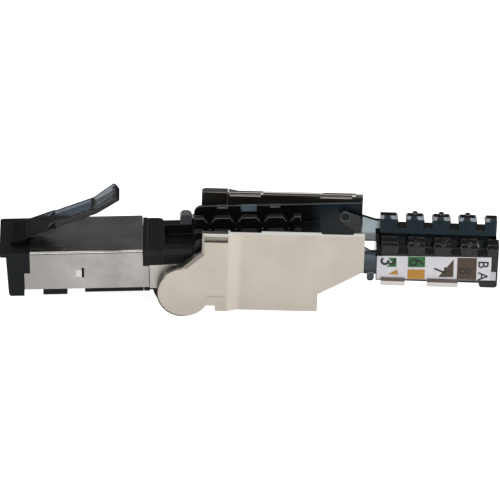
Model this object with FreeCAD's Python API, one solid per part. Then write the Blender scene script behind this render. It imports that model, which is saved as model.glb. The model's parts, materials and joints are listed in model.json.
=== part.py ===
import FreeCAD, Part
import math
import os

# Field termination ethernet plug, lying open for wiring.
# Millimetres. +X runs from the plug's nose to the open wire cap, +Y to the far side, +Z is up.
# The origin is below the middle of the whole part, on the surface that it stands on.

V = FreeCAD.Vector
Y_AXIS = V(0, 1, 0)

# Clearances
moulding_fit = 0.05          # between pieces of one body that are pushed together
bearing_clearance = 0.05     # radial, boss or pin in its bore
side_clearance = 0.15        # between faces that pass each other
closing_clearance = 0.2      # between the closed wire cap's end and its catch
cut_past = 1.0               # how far a cutting tool runs past the face it opens

# Widths across the plug, from the sleeve to the pieces that pass inside each other
shield_half_width = 5.95
nose_inset = 0.11            # the nose's side inside the sleeve's outer face
hinge_plate_thickness = 0.5
housing_gap = 0.2            # between the terminal block and the housing's wall
block_wall = 0.45
tower_inner_y = 1.7
tower_width = 1.15

# Housing hinge
ear_radius = 4.06
boss_radius = 1.6
boss_length = 1.3
hinge_z = ear_radius

# Plug head, from the front of the nose backwards
front_x = -38.28
head_height = 7.25
foot_drop = 0.96             # the nose's foot below the hinge axis
nose_corner_radius = 0.45
nose_length = 4.65
lip_reach = 0.95
lip_height = 0.55
face_slope = 0.3
foot_length = 2.4
belly_rise = 1.05            # the underside behind the foot
front_pad_rise = 0.05        # the pads that stand through the sleeve, above the nose's foot
rear_pad_rise = 0.35
front_pad_offset = 1.9       # from the sleeve's front edge
front_pad_length = 3.7
rear_pad_offset = 8.3

# Steel sleeve
shield_thickness = 0.25
shield_length = 17.3
shield_top_rise = 0.19       # above the nose's top
shield_bottom_rise = 1.16    # above the nose's foot
shield_lower_reach = 0.9     # the lower side runs further forward
shield_step_rise = 3.9       # above the nose's foot
shield_rear_reach = 0.9      # the lower side runs back over the flange
shield_rear_step_rise = 4.8
shield_corner_radius = 0.45
lance_offset = 6.6
lance_length = 1.3
lance_height = 1.7
lance_depth = 0.25
lance_slit = 0.35
lance_rise = 3.9             # its middle above the nose's foot

# Latch, along its own length from its root
latch_root_offset = 2.25     # behind the front of the nose
latch_root_radius = 0.5
latch_root_rise = 0.3
latch_rise_deg = 20.0
latch_thickness = 0.55
latch_wide_length = 6.7
latch_wide_half_width = 3.1
latch_lever_length = 6.4
latch_lever_half_width = 1.9
latch_rib_height = 1.0
latch_rib_width = 0.4
latch_bar_length = 0.65
latch_bend_deg = 18.0
latch_tip_length = 4.4
latch_tip_height = 1.4

# Contacts and circuit board
contact_count = 8
contact_pitch = 1.02
contact_thickness = 0.35
contact_drop = 0.45          # blade's lower edge above the foot
contact_front_gap = 0.45
contact_blade_length = 1.5
contact_arm_height = 0.75
contact_length = 5.1
board_thickness = 1.0
board_margin = 0.63          # beside the outer contacts
board_front_offset = 5.75    # behind the front of the nose
board_rear_gap = 1.0         # before the end of the terminal block's floor

# Rear body and its hinge plates
flange_thickness = 0.7
flange_drop = 0.25           # below the sleeve's top
rear_strip_length = 0.7      # the pad's strip under the neck
shoulder_length = 1.6
shoulder_slope = 0.8
shoulder_drop = 0.3          # below the sleeve's top
rear_top_drop = 0.5
hinge_setback = 5.31         # behind the flange
hub_proud = 0.19             # the hub's rim past the ears
hub_offset_x = -0.45
hub_offset_z = 0.2
rear_edge_chamfer = 0.5      # along the two long upper edges
pocket_front_gap = 0.15      # behind the shoulder's slope
pocket_half_width = 3.2
pocket_depth = 1.6
hinge_plate_inset = 0.32      # its round end inside the ear's rim
hinge_plate_drop = 0.1       # its lower edge below the hinge axis
catch_length = 1.85
catch_y = 4.0
catch_half_width = 0.75
catch_height = 1.75
catch_radius = 0.7

# Terminal block
block_front_gap = 1.86       # its front behind the hinge axis
block_top = 7.99             # heights above the hinge axis
block_floor_top = 4.84
block_floor_thickness = 1.0
block_wall_bottom = 2.44
block_corner_radius = 1.2
slot_count = 4
slot_pitch = 4.06
first_slot_offset = 2.37     # behind the block's front
slot_width = 0.6
slot_lead = 0.6
slot_lead_height = 0.75
tower_drop = 0.25            # the towers' heads below the block's top
slot_floor_rise = 0.46       # above the block's floor
wall_notch_lengths = (1.5, 2.3, 1.5)
wall_notch_depths = (0.4, 1.0, 0.4)
tower_end_margin = 1.9
blade_width = 2.0
blade_thickness = 0.4
blade_slit = 0.3
blade_slit_depth = 1.7
blade_top_drop = 0.7
blade_tail_width = 0.7
blade_tail_length = 1.3

# Wire cap's pivot
pivot_setback = 8.73         # behind the last wire slot
pivot_drop = 1.85            # below the top of the terminal block
pivot_pin_radius = 0.45
pivot_eye_radius = 1.0
pivot_plate_front = 3.9      # before the pivot
pivot_plate_rear = 2.7
pivot_plate_radius = 2.0

# Wire cap, in its own frame: its pivot is the zero point and it lies level
cap_droop_deg = 3.4
cap_front = 4.75
cap_end_gap = 0.12           # the closed cap's end, past the terminal block's front
tower_head_gap = 0.2         # between the closed cap's floor and the towers
finger_tip_gap = 0.5         # between the closed cap's fingers and the block's floor
cap_wall_below_label = 0.18
cap_shell_wall = 0.9
cap_roof = 0.9
finger_slot_depth = 1.75
finger_slot_width = 1.56     # between two shanks
finger_head_gap = 1.12       # between two heads, where they are widest
finger_top_gap = 1.72        # between two heads at the top
finger_side_chamfer = 0.3    # across the heads' outer sides
finger_head_height = 0.5
finger_neck_height = 0.55
finger_bump_radius = 0.4
finger_bump_proud = 0.1
finger_bump_rise = 0.15
first_finger_gap = 0.64
arm_width = 0.8
arm_top_end = -0.5
arm_drop = 2.85              # below the cap's floor
gusset_width = 2.0           # the near arm's thicker root
gusset_length = 1.9
arm_bottom_length = 1.8
nub_length = 1.1
nub_drop = 1.2
nub_front_gap = 0.3
cap_foot_length = 2.8
cap_foot_drop = 0.75
cap_foot_radius = 0.45
cap_shield_thickness = 0.3
cap_shield_inset = 0.7       # the plate's edge, inside the cap's sides
cap_tab_drop = 0.4           # below the plate
cap_shield_end_gap = 3.2
cap_tab_overlap = 0.35       # the tabs' upper edge over the label
cap_tabs = [(0.75, 3.7), (7.85, 4.75)]   # offset from the cap's front, length
label_thickness = 0.12
label_height = 4.0
label_top_gap = 0.55
label_tilt_deg = 1.0         # the label is set a little askew
label_front_gap = 0.1
label_end_gap = 1.0

# Rear housing, in its own frame: the hinge axis is the zero point and its top edge lies level
housing_wall = 1.15
housing_top = 10.1
housing_bottom = -3.0
housing_floor_thickness = 1.2
housing_front = 2.65
housing_front_step = 6.9
housing_neck = (-0.45, 4.0)
housing_notch_front = 3.3
housing_notch_top = -2.0
housing_floor_gap = 0.7      # between the floor's front edge and the hub
housing_floor_rear = 20.6
housing_skirt = 0.0
housing_rear_low = (27.2, 3.85)
housing_rear = 27.5
band_rear = 6.6
band_slope = 1.6
band_proud = 0.65
band_slot_front_gap = 0.3
band_slot_top_gap = 0.3
band_slot_height = 0.9
band_slot_depth = 0.5
pad_front = 3.6
pad_rear = 6.3
pad_height = 1.5
pad_proud = 0.12
rim_chamfer = 0.45
band_hollow_z = 4.5          # the band's inner face stands out above this height
band_hollow_depth = 0.4
edge_recesses = [(6.9, 4.8), (20.9, 4.9)]  # start behind the hinge axis, length
edge_recess_depth = 0.35
edge_recess_width = 0.5

# Widths worked out from the sizes
nose_half_width = shield_half_width - nose_inset
core_half_width = shield_half_width - shield_thickness - moulding_fit
flange_half_width = shield_half_width - moulding_fit
rear_half_width = shield_half_width - side_clearance
neck_half_width = rear_half_width - hinge_plate_thickness
housing_inner_half_width = rear_half_width + side_clearance
housing_half_width = housing_inner_half_width + housing_wall
block_half_width = housing_inner_half_width - housing_gap
block_inner = block_half_width - block_wall
cap_half_width = block_inner - side_clearance
tower_outer_y = tower_inner_y + tower_width
tower_y = (tower_inner_y + tower_outer_y) / 2
finger_inner_y = tower_outer_y + side_clearance
board_half_width = contact_pitch * (contact_count - 1) / 2 + board_margin
hub_radius = ear_radius + hub_proud
hinge_plate_radius = ear_radius - hinge_plate_inset

# Places worked out from the sizes
foot_z = hinge_z - foot_drop
nose_top_z = foot_z + head_height
nose_face_x = front_x + lip_reach
nose_foot_x = nose_face_x + face_slope
shield_front_x = front_x + nose_length
shield_rear_x = shield_front_x + shield_length
shield_top_z = nose_top_z + shield_top_rise
shield_bottom_z = foot_z + shield_bottom_rise
core_top_z = shield_top_z - shield_thickness - moulding_fit
core_bottom_z = shield_bottom_z + shield_thickness + moulding_fit
front_pad_z = foot_z + front_pad_rise
rear_pad_z = foot_z + rear_pad_rise
latch_x = front_x + latch_root_offset
latch_z = nose_top_z + latch_root_rise
shield_step_z = foot_z + shield_step_rise
shield_rear_step_z = foot_z + shield_rear_step_rise
lance_z = foot_z + lance_rise
flange_front_x = shield_rear_x + moulding_fit
flange_rear_x = flange_front_x + flange_thickness
hinge_x = flange_rear_x + hinge_setback
shoulder_top_z = shield_top_z - shoulder_drop
rear_top_z = shield_top_z - rear_top_drop
rear_wall_z = shield_rear_step_z + moulding_fit
neck_front_x = shield_rear_x + shield_rear_reach + moulding_fit
block_front_x = hinge_x + block_front_gap
block_top_z = hinge_z + block_top
block_floor_z = hinge_z + block_floor_top
block_floor_bottom_z = block_floor_z - block_floor_thickness
block_wall_z = hinge_z + block_wall_bottom
board_top_z = block_floor_bottom_z - moulding_fit
board_z = board_top_z - board_thickness
slot_floor_z = block_floor_z + slot_floor_rise
tower_top_z = block_top_z - tower_drop
slot_x = [block_front_x + first_slot_offset + i * slot_pitch for i in range(slot_count)]
pivot_x = slot_x[-1] + pivot_setback
pivot_z = block_top_z - pivot_drop
block_floor_end_x = pivot_x - pivot_plate_front
block_rear_x = pivot_x + pivot_plate_rear
closed_cap_end_x = block_front_x - cap_end_gap
cap_end = pivot_x - closed_cap_end_x
cap_slots = sorted(pivot_x - x for x in slot_x)
cap_floor = tower_drop - pivot_drop - tower_head_gap
arm_bottom = cap_floor - arm_drop
finger_top = pivot_z - block_floor_z - finger_tip_gap
finger_slot_bottom = finger_top - finger_slot_depth
label_top = finger_slot_bottom - label_top_gap
label_bottom = label_top - label_height
cap_bottom = label_bottom - cap_wall_below_label
catch_rear_x = closed_cap_end_x - closing_clearance
housing_floor_front = hub_radius + housing_floor_gap
corner_reach = math.hypot(housing_floor_rear, housing_bottom)
corner_angle = math.atan2(-housing_bottom, housing_floor_rear)
housing_tilt_deg = math.degrees(math.asin(ear_radius / corner_reach) - corner_angle)


def box(x0, x1, y0, y1, z0, z1):
    return Part.makeBox(x1 - x0, y1 - y0, z1 - z0, V(x0, y0, z0))


def middle_box(x0, x1, half_width, z0, z1):
    return box(x0, x1, -half_width, half_width, z0, z1)


def prism(points, y0, y1):
    """A closed outline of (x, z) points, extruded along Y."""
    corners = [V(x, y0, z) for x, z in points]
    wire = Part.makePolygon(corners + corners[:1])
    return Part.Face(wire).extrude(V(0, y1 - y0, 0))


def rod(radius, x, z, y0, y1):
    return Part.makeCylinder(radius, y1 - y0, V(x, y0, z), Y_AXIS)


def mirrored(shape):
    return shape.mirror(V(0, 0, 0), Y_AXIS)


def pair(shape):
    """A shape and its twin on the other side."""
    return [shape, mirrored(shape)]


def joined(shapes):
    return shapes[0].fuse(shapes[1:]).removeSplitter()


def edges_along_y(shape, places):
    """The edges that run along Y through the given (x, z) places."""
    chosen = []
    for edge in shape.Edges:
        ends = [edge.Vertexes[0].Point, edge.Vertexes[-1].Point]
        for x, z in places:
            if all(abs(p.x - x) < 0.01 and abs(p.z - z) < 0.01 for p in ends):
                chosen.append(edge)
    return chosen


def on_long_top_edge(edge, half_width, lowest_z):
    """Whether an edge runs along a body's side at or above the given height, and isn't upright."""
    ends = [edge.Vertexes[0].Point, edge.Vertexes[-1].Point]
    on_side = all(abs(abs(p.y) - half_width) < 0.01 for p in ends)
    above = all(p.z > lowest_z - 0.01 for p in ends)
    return on_side and above and abs(ends[0].x - ends[1].x) > 0.01


def comb(start, end, bottom, top, slots, half_slot):
    """The (x, z) outline of a rail whose top is cut by slots.

    half_slot lists one side of a slot from the top down, as (distance from its middle, z).
    """
    points = [(start, bottom), (start, top)]
    for x in slots:
        points += [(x - out, z) for out, z in half_slot]
        points += [(x + out, z) for out, z in reversed(half_slot)]
    return points + [(end, top), (end, bottom)]


def contact_places():
    first = -contact_pitch * (contact_count - 1) / 2
    return [first + i * contact_pitch for i in range(contact_count)]


def plug_nose():
    """Black moulding: the nose with its lip and foot, and the core that the steel sleeve wraps."""
    lip_z = nose_top_z - lip_height
    foot_rear_x = nose_foot_x + foot_length
    belly_z = foot_z + belly_rise
    outline = [
        (front_x, nose_top_z),
        (front_x, lip_z),
        (nose_face_x, lip_z),
        (nose_foot_x, foot_z),
        (foot_rear_x, foot_z),
        (foot_rear_x, belly_z),
        (shield_front_x, belly_z),
        (shield_front_x, nose_top_z),
    ]
    nose = prism(outline, -nose_half_width, nose_half_width)
    corners = []
    for edge in nose.Edges:
        ends = [edge.Vertexes[0].Point, edge.Vertexes[-1].Point]
        on_side = all(abs(abs(p.y) - nose_half_width) < 0.01 for p in ends)
        in_front = all(p.x < nose_foot_x + 0.01 for p in ends)
        upright = abs(ends[0].z - ends[1].z) > nose_corner_radius
        if on_side and in_front and upright:
            corners.append(edge)
    nose = nose.makeFillet(nose_corner_radius, corners + edges_along_y(nose, [(nose_foot_x, foot_z)]))
    for side in pair(
        box(
            shield_front_x - shield_lower_reach - moulding_fit,
            shield_front_x + cut_past,
            core_half_width,
            nose_half_width + cut_past,
            foot_z - cut_past,
            shield_step_z + moulding_fit,
        )
    ):
        nose = nose.cut(side)
    core = middle_box(
        shield_front_x - shield_lower_reach, shield_rear_x, core_half_width, core_bottom_z, core_top_z
    )
    pad_x = shield_front_x + front_pad_offset
    pad_end_x = pad_x + front_pad_length
    front_pad = middle_box(pad_x, pad_end_x, core_half_width, front_pad_z, core_bottom_z)
    rear_pad_x = shield_front_x + rear_pad_offset
    rear_pad = middle_box(rear_pad_x, shield_rear_x, core_half_width, rear_pad_z, core_bottom_z)
    body = joined([nose, core, front_pad, rear_pad])
    groove = rod(
        latch_root_radius + bearing_clearance,
        latch_x,
        latch_z,
        -latch_wide_half_width - side_clearance,
        latch_wide_half_width + side_clearance,
    )
    body = body.cut(groove)
    body = body.cut(
        middle_box(
            front_x + board_front_offset - moulding_fit,
            shield_rear_x + cut_past,
            board_half_width + moulding_fit,
            board_z - moulding_fit,
            board_top_z + moulding_fit,
        )
    )
    half = contact_thickness / 2 + moulding_fit
    slot_end_x = nose_face_x + contact_front_gap + contact_length + moulding_fit
    for y in contact_places():
        slot = box(
            front_x - cut_past, slot_end_x, y - half, y + half, foot_z - cut_past, board_z
        )
        body = body.cut(slot)
    return body


def front_shield():
    """Folded steel sleeve round the plug, with the notch for the latch and a lance on each side."""
    outer = middle_box(
        shield_front_x, shield_rear_x, shield_half_width, shield_bottom_z, shield_top_z
    )
    lower = middle_box(
        shield_front_x - shield_lower_reach,
        shield_front_x,
        shield_half_width,
        shield_bottom_z,
        shield_step_z,
    )
    rear = middle_box(
        shield_rear_x,
        shield_rear_x + shield_rear_reach,
        shield_half_width,
        shield_bottom_z,
        shield_rear_step_z,
    )
    outer = joined([outer, lower, rear])
    long_edges = []
    for edge in outer.Edges:
        ends = [edge.Vertexes[0].Point, edge.Vertexes[-1].Point]
        on_side = all(abs(abs(p.y) - shield_half_width) < 0.01 for p in ends)
        along_x = abs(ends[0].x - ends[1].x) > shield_lower_reach / 2
        on_top = all(abs(p.z - shield_top_z) < 0.01 for p in ends)
        if on_side and along_x and on_top:
            long_edges.append(edge)
    outer = outer.makeFillet(shield_corner_radius, long_edges)
    inner_half = shield_half_width - shield_thickness
    hollow = middle_box(
        shield_front_x - shield_lower_reach - cut_past,
        shield_rear_x + shield_rear_reach + cut_past,
        inner_half,
        shield_bottom_z + shield_thickness,
        shield_top_z - shield_thickness,
    )
    sleeve = outer.cut(hollow)
    window_z0 = shield_bottom_z - cut_past
    window_z1 = shield_bottom_z + shield_thickness + moulding_fit
    front_window_x = shield_front_x + front_pad_offset + front_pad_length + moulding_fit
    front_window = middle_box(
        shield_front_x - shield_lower_reach - cut_past,
        front_window_x,
        inner_half,
        window_z0,
        window_z1,
    )
    rear_window = middle_box(
        shield_front_x + rear_pad_offset - moulding_fit,
        shield_rear_x + shield_rear_reach + cut_past,
        inner_half,
        window_z0,
        window_z1,
    )
    lance_x = shield_front_x + lance_offset
    slit = box(
        lance_x + lance_length,
        lance_x + lance_length + lance_slit,
        inner_half - cut_past,
        shield_half_width + cut_past,
        lance_z - lance_height / 2,
        lance_z + lance_height / 2,
    )
    sleeve = sleeve.cut([front_window, rear_window] + pair(slit))
    lance = [
        (lance_x, lance_z - lance_height / 2),
        (lance_x, lance_z + lance_height / 2),
        (lance_x + lance_length, lance_z + lance_height / 2),
        (lance_x + lance_length, lance_z - lance_height / 2),
    ]
    face_y = shield_half_width
    base = Part.makePolygon([V(x, face_y - shield_thickness, z) for x, z in lance + lance[:1]])
    shrink = lance_depth
    crown_points = [
        (lance_x + shrink * 2, lance_z - lance_height / 2 + shrink),
        (lance_x + shrink * 2, lance_z + lance_height / 2 - shrink),
        (lance_x + lance_length, lance_z + lance_height / 2 - shrink),
        (lance_x + lance_length, lance_z - lance_height / 2 + shrink),
    ]
    crown = Part.makePolygon(
        [V(x, face_y + lance_depth, z) for x, z in crown_points + crown_points[:1]]
    )
    dimple = Part.makeLoft([base, crown], True, True)
    return joined([sleeve] + pair(dimple))


def latch():
    """Sprung release latch: a wide root tongue, then a narrow ribbed lever with a raised tip."""
    wide_end = latch_wide_length
    lever_end = latch_wide_length + latch_lever_length
    half = latch_thickness / 2
    root = rod(latch_root_radius, 0, 0, -latch_wide_half_width, latch_wide_half_width)
    tongue = middle_box(0, wide_end, latch_wide_half_width, -half, half)
    panel = middle_box(wide_end - half, lever_end, latch_lever_half_width, -half, half)
    rib_inner = latch_lever_half_width - latch_rib_width
    rib_outline = [
        (wide_end - latch_rib_height, half),
        (wide_end, latch_rib_height - half),
        (lever_end, latch_rib_height - half),
        (lever_end, -half),
        (wide_end - latch_rib_height, -half),
    ]
    rib = prism(rib_outline, rib_inner, latch_lever_half_width)
    bar = middle_box(
        lever_end - latch_bar_length, lever_end, latch_lever_half_width, -half, latch_rib_height - half
    )
    tip_top = latch_tip_height - half
    tip_outline = [
        (0, -half),
        (0, latch_rib_height - half),
        (latch_tip_length - half, tip_top),
        (latch_tip_length, tip_top - half),
        (latch_tip_length, -half),
    ]
    tip_rib = prism(tip_outline, rib_inner, latch_lever_half_width)
    tip_panel = middle_box(0, latch_tip_length, latch_lever_half_width, -half, half)
    tip_end = middle_box(
        latch_tip_length - latch_bar_length,
        latch_tip_length,
        latch_lever_half_width,
        -half,
        tip_top - half,
    )
    tip = joined([tip_panel, tip_end] + pair(tip_rib))
    tip.rotate(V(0, 0, -half), Y_AXIS, -latch_bend_deg)
    tip.translate(V(lever_end, 0, 0))
    wedge = prism(
        [
            (lever_end, -half),
            (lever_end, latch_rib_height - half),
            (
                lever_end - latch_rib_height * math.sin(math.radians(latch_bend_deg)),
                latch_rib_height * math.cos(math.radians(latch_bend_deg)) - half,
            ),
        ],
        -latch_lever_half_width,
        latch_lever_half_width,
    )
    shape = joined([root, tongue, panel, bar, tip, wedge] + pair(rib))
    shape.rotate(V(0, 0, 0), Y_AXIS, -latch_rise_deg)
    shape.translate(V(latch_x, 0, latch_z))
    return shape


def contact(y):
    """One gold-plated contact: a blade in the nose and an arm under the circuit board."""
    x0 = nose_face_x + contact_front_gap
    blade_x = x0 + contact_blade_length
    top_z = board_z - moulding_fit
    bottom_z = foot_z + contact_drop
    arm_z = top_z - contact_arm_height
    outline = [
        (x0, top_z),
        (x0, bottom_z),
        (blade_x, bottom_z),
        (blade_x, arm_z),
        (x0 + contact_length, arm_z),
        (x0 + contact_length, top_z),
    ]
    shape = prism(outline, y - contact_thickness / 2, y + contact_thickness / 2)
    return shape.makeFillet(contact_thickness, edges_along_y(shape, [(x0, bottom_z)]))


def circuit_board():
    """Board that joins the contacts to the terminal blades, with a hole for each blade's tail."""
    board = middle_box(
        front_x + board_front_offset,
        block_floor_end_x - board_rear_gap,
        board_half_width,
        board_z,
        board_top_z,
    )
    half_x = blade_tail_width / 2 + moulding_fit
    half_y = blade_thickness / 2 + moulding_fit
    for x in slot_x:
        for side in (-1, 1):
            y = side * tower_y
            hole = box(
                x - half_x, x + half_x, y - half_y, y + half_y, board_z - cut_past, board_top_z + cut_past
            )
            board = board.cut(hole)
    return board


def rear_body():
    """Black body behind the sleeve: flange, shoulder, hollowed neck and hinge hub."""
    flange = middle_box(
        flange_front_x,
        flange_rear_x,
        flange_half_width,
        rear_wall_z,
        shield_top_z - flange_drop,
    )
    tops = [edge for edge in flange.Edges if on_long_top_edge(edge, flange_half_width, rear_top_z)]
    flange = flange.makeChamfer(rear_edge_chamfer, tops)
    lower_flange = middle_box(
        flange_front_x, neck_front_x, core_half_width, core_bottom_z, rear_top_z
    )
    rear_pad = middle_box(
        flange_front_x, neck_front_x, core_half_width, rear_pad_z, core_bottom_z
    )
    rear_strip = middle_box(
        neck_front_x, neck_front_x + rear_strip_length, neck_half_width, rear_pad_z, core_bottom_z
    )
    shoulder_x = flange_rear_x + shoulder_length
    neck_x = shoulder_x + shoulder_slope
    shoulder = prism(
        [
            (flange_rear_x, rear_wall_z),
            (flange_rear_x, shoulder_top_z),
            (shoulder_x, shoulder_top_z),
            (neck_x, rear_top_z),
            (neck_x, rear_wall_z),
        ],
        -rear_half_width,
        rear_half_width,
    )
    tops = [edge for edge in shoulder.Edges if on_long_top_edge(edge, rear_half_width, rear_top_z)]
    shoulder = shoulder.makeChamfer(rear_edge_chamfer, tops)
    neck = middle_box(neck_front_x, catch_rear_x, neck_half_width, hinge_z, rear_top_z)
    tops = [edge for edge in neck.Edges if on_long_top_edge(edge, neck_half_width, rear_top_z)]
    neck = neck.makeChamfer(rear_edge_chamfer, tops)
    hub_x = hinge_x + hub_offset_x
    hub_z = hinge_z + hub_offset_z
    hub = rod(hub_radius, hub_x, hub_z, -neck_half_width, neck_half_width)
    tongue_top_z = block_floor_z
    tongue = middle_box(
        hinge_x, block_front_x - moulding_fit, neck_half_width, board_z - moulding_fit, tongue_top_z
    )
    body = joined([flange, lower_flange, rear_pad, rear_strip, shoulder, neck, hub, tongue])
    reach = boss_length + bearing_clearance
    bore = rod(
        boss_radius + bearing_clearance,
        hinge_x,
        hinge_z,
        housing_inner_half_width - reach,
        housing_inner_half_width + cut_past,
    )
    board_slot = middle_box(
        flange_front_x - cut_past,
        hub_x + hub_radius + cut_past,
        board_half_width + moulding_fit,
        board_z - moulding_fit,
        board_top_z + moulding_fit,
    )
    pocket_x = neck_x + pocket_front_gap
    pocket = middle_box(
        pocket_x,
        block_front_x,
        pocket_half_width,
        rear_top_z - pocket_depth,
        rear_top_z + cut_past,
    )
    return body.cut(pair(bore) + [board_slot, pocket])


def cap_catch():
    """Smoky catch on the rear body that holds the closed wire cap's end."""
    front_x = catch_rear_x - catch_length
    catch = box(
        front_x,
        catch_rear_x,
        catch_y - catch_half_width,
        catch_y + catch_half_width,
        rear_top_z,
        rear_top_z + catch_height,
    )
    top_z = rear_top_z + catch_height
    return catch.makeFillet(
        catch_radius, edges_along_y(catch, [(front_x, top_z), (catch_rear_x, top_z)])
    )


def hinge_plate():
    """Bright metal cheek of the hinge, on the far side, with the bore for the housing's boss."""
    y0 = neck_half_width
    y1 = y0 + hinge_plate_thickness
    arm = box(neck_front_x, hinge_x, y0, y1, hinge_z - hinge_plate_drop, rear_wall_z)
    round_end = rod(hinge_plate_radius, hinge_x, hinge_z, y0, y1)
    bore = rod(boss_radius + bearing_clearance, hinge_x, hinge_z, y0 - cut_past, y1 + cut_past)
    return joined([arm, round_end]).cut(bore)


def terminal_block():
    """Black carrier: open-topped tray with two slotted rows of towers and the cap's pivot plates."""
    body = middle_box(block_front_x, block_rear_x, block_half_width, block_wall_z, block_top_z)
    body = body.makeFillet(
        block_corner_radius, edges_along_y(body, [(block_front_x, block_top_z)])
    )
    body = body.makeFillet(
        pivot_plate_radius, edges_along_y(body, [(block_rear_x, block_wall_z)])
    )
    x0 = block_front_x - cut_past
    x1 = block_rear_x + cut_past
    above = middle_box(x0, x1, block_inner, block_floor_z, block_top_z + cut_past)
    below = middle_box(x0, x1, block_inner, block_wall_z - cut_past, block_floor_bottom_z)
    behind = middle_box(
        block_floor_end_x,
        block_rear_x + cut_past,
        block_inner,
        block_wall_z - cut_past,
        block_top_z + cut_past,
    )
    body = body.cut([above, below, behind])
    half_slot = [
        (slot_width / 2 + slot_lead, tower_top_z),
        (slot_width / 2, tower_top_z - slot_lead_height),
        (slot_width / 2, slot_floor_z),
    ]
    outline = comb(
        block_front_x + moulding_fit,
        slot_x[-1] + tower_end_margin,
        block_floor_bottom_z,
        tower_top_z,
        slot_x,
        half_slot,
    )
    body = joined([body] + pair(prism(outline, tower_inner_y, tower_outer_y)))
    for x, length, depth in zip(slot_x, wall_notch_lengths, wall_notch_depths):
        middle = x + slot_pitch / 2
        notch = box(
            middle - length / 2,
            middle + length / 2,
            block_inner - cut_past,
            block_inner + block_wall / 2,
            block_top_z - depth,
            block_top_z + cut_past,
        )
        body = body.cut(pair(notch))
    half_x = blade_width / 2 + moulding_fit
    half_y = blade_thickness / 2 + moulding_fit
    for x in slot_x:
        pocket = box(
            x - half_x,
            x + half_x,
            tower_y - half_y,
            tower_y + half_y,
            block_floor_bottom_z - cut_past,
            block_top_z - blade_top_drop + moulding_fit,
        )
        body = body.cut(pair(pocket))
    plate_room = rod(
        hinge_plate_radius + moulding_fit, hinge_x, hinge_z, -block_half_width, block_half_width
    )
    hub_room = rod(
        hub_radius + moulding_fit,
        hinge_x + hub_offset_x,
        hinge_z + hub_offset_z,
        -block_half_width,
        block_half_width,
    )
    body = body.cut([plate_room, hub_room])
    pin_inner = cap_half_width - arm_width
    pin = rod(pivot_pin_radius, pivot_x, pivot_z, pin_inner, block_inner + block_wall / 2)
    return joined([body] + pair(pin))


def terminal_blade(x, side):
    """Slit blade that cuts through a wire's insulation, with a tail into the board."""
    y = side * tower_y
    y0 = y - blade_thickness / 2
    y1 = y + blade_thickness / 2
    bottom_z = board_top_z + moulding_fit
    top_z = block_top_z - blade_top_drop
    plate = box(x - blade_width / 2, x + blade_width / 2, y0, y1, bottom_z, top_z)
    slit = box(
        x - blade_slit / 2,
        x + blade_slit / 2,
        y0 - cut_past,
        y1 + cut_past,
        top_z - blade_slit_depth,
        top_z + cut_past,
    )
    tail = box(
        x - blade_tail_width / 2,
        x + blade_tail_width / 2,
        y0,
        y1,
        bottom_z - blade_tail_length,
        bottom_z,
    )
    return joined([plate.cut(slit), tail])


def place_cap_piece(shape):
    """From the cap's own frame to where the open cap lies."""
    shape.rotate(V(0, 0, 0), Y_AXIS, cap_droop_deg)
    shape.translate(V(pivot_x, 0, pivot_z))
    return shape


def cap_arm():
    """The far arm of the wire cap, from its eye to the cap's front."""
    y0 = cap_half_width - arm_width
    outline = [
        (0, pivot_eye_radius),
        (cap_front, arm_top_end),
        (cap_front + arm_width, arm_top_end),
        (cap_front + arm_width, arm_bottom),
        (cap_front - arm_bottom_length, arm_bottom),
        (-pivot_eye_radius * math.sin(math.radians(45)), -pivot_eye_radius * math.sin(math.radians(45))),
    ]
    plate = prism(outline, y0, cap_half_width)
    eye = rod(pivot_eye_radius, 0, 0, y0, cap_half_width)
    return joined([plate, eye])


def label_box(depth):
    """The label's place on the cap's near side, a little askew, with the given depth."""
    start = cap_front + label_front_gap
    end = cap_end - label_end_gap
    face_y = -cap_half_width
    place = box(start, end, face_y, face_y + depth, label_bottom, label_top)
    place.rotate(V(start, 0, label_bottom), Y_AXIS, -label_tilt_deg)
    return place


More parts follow.
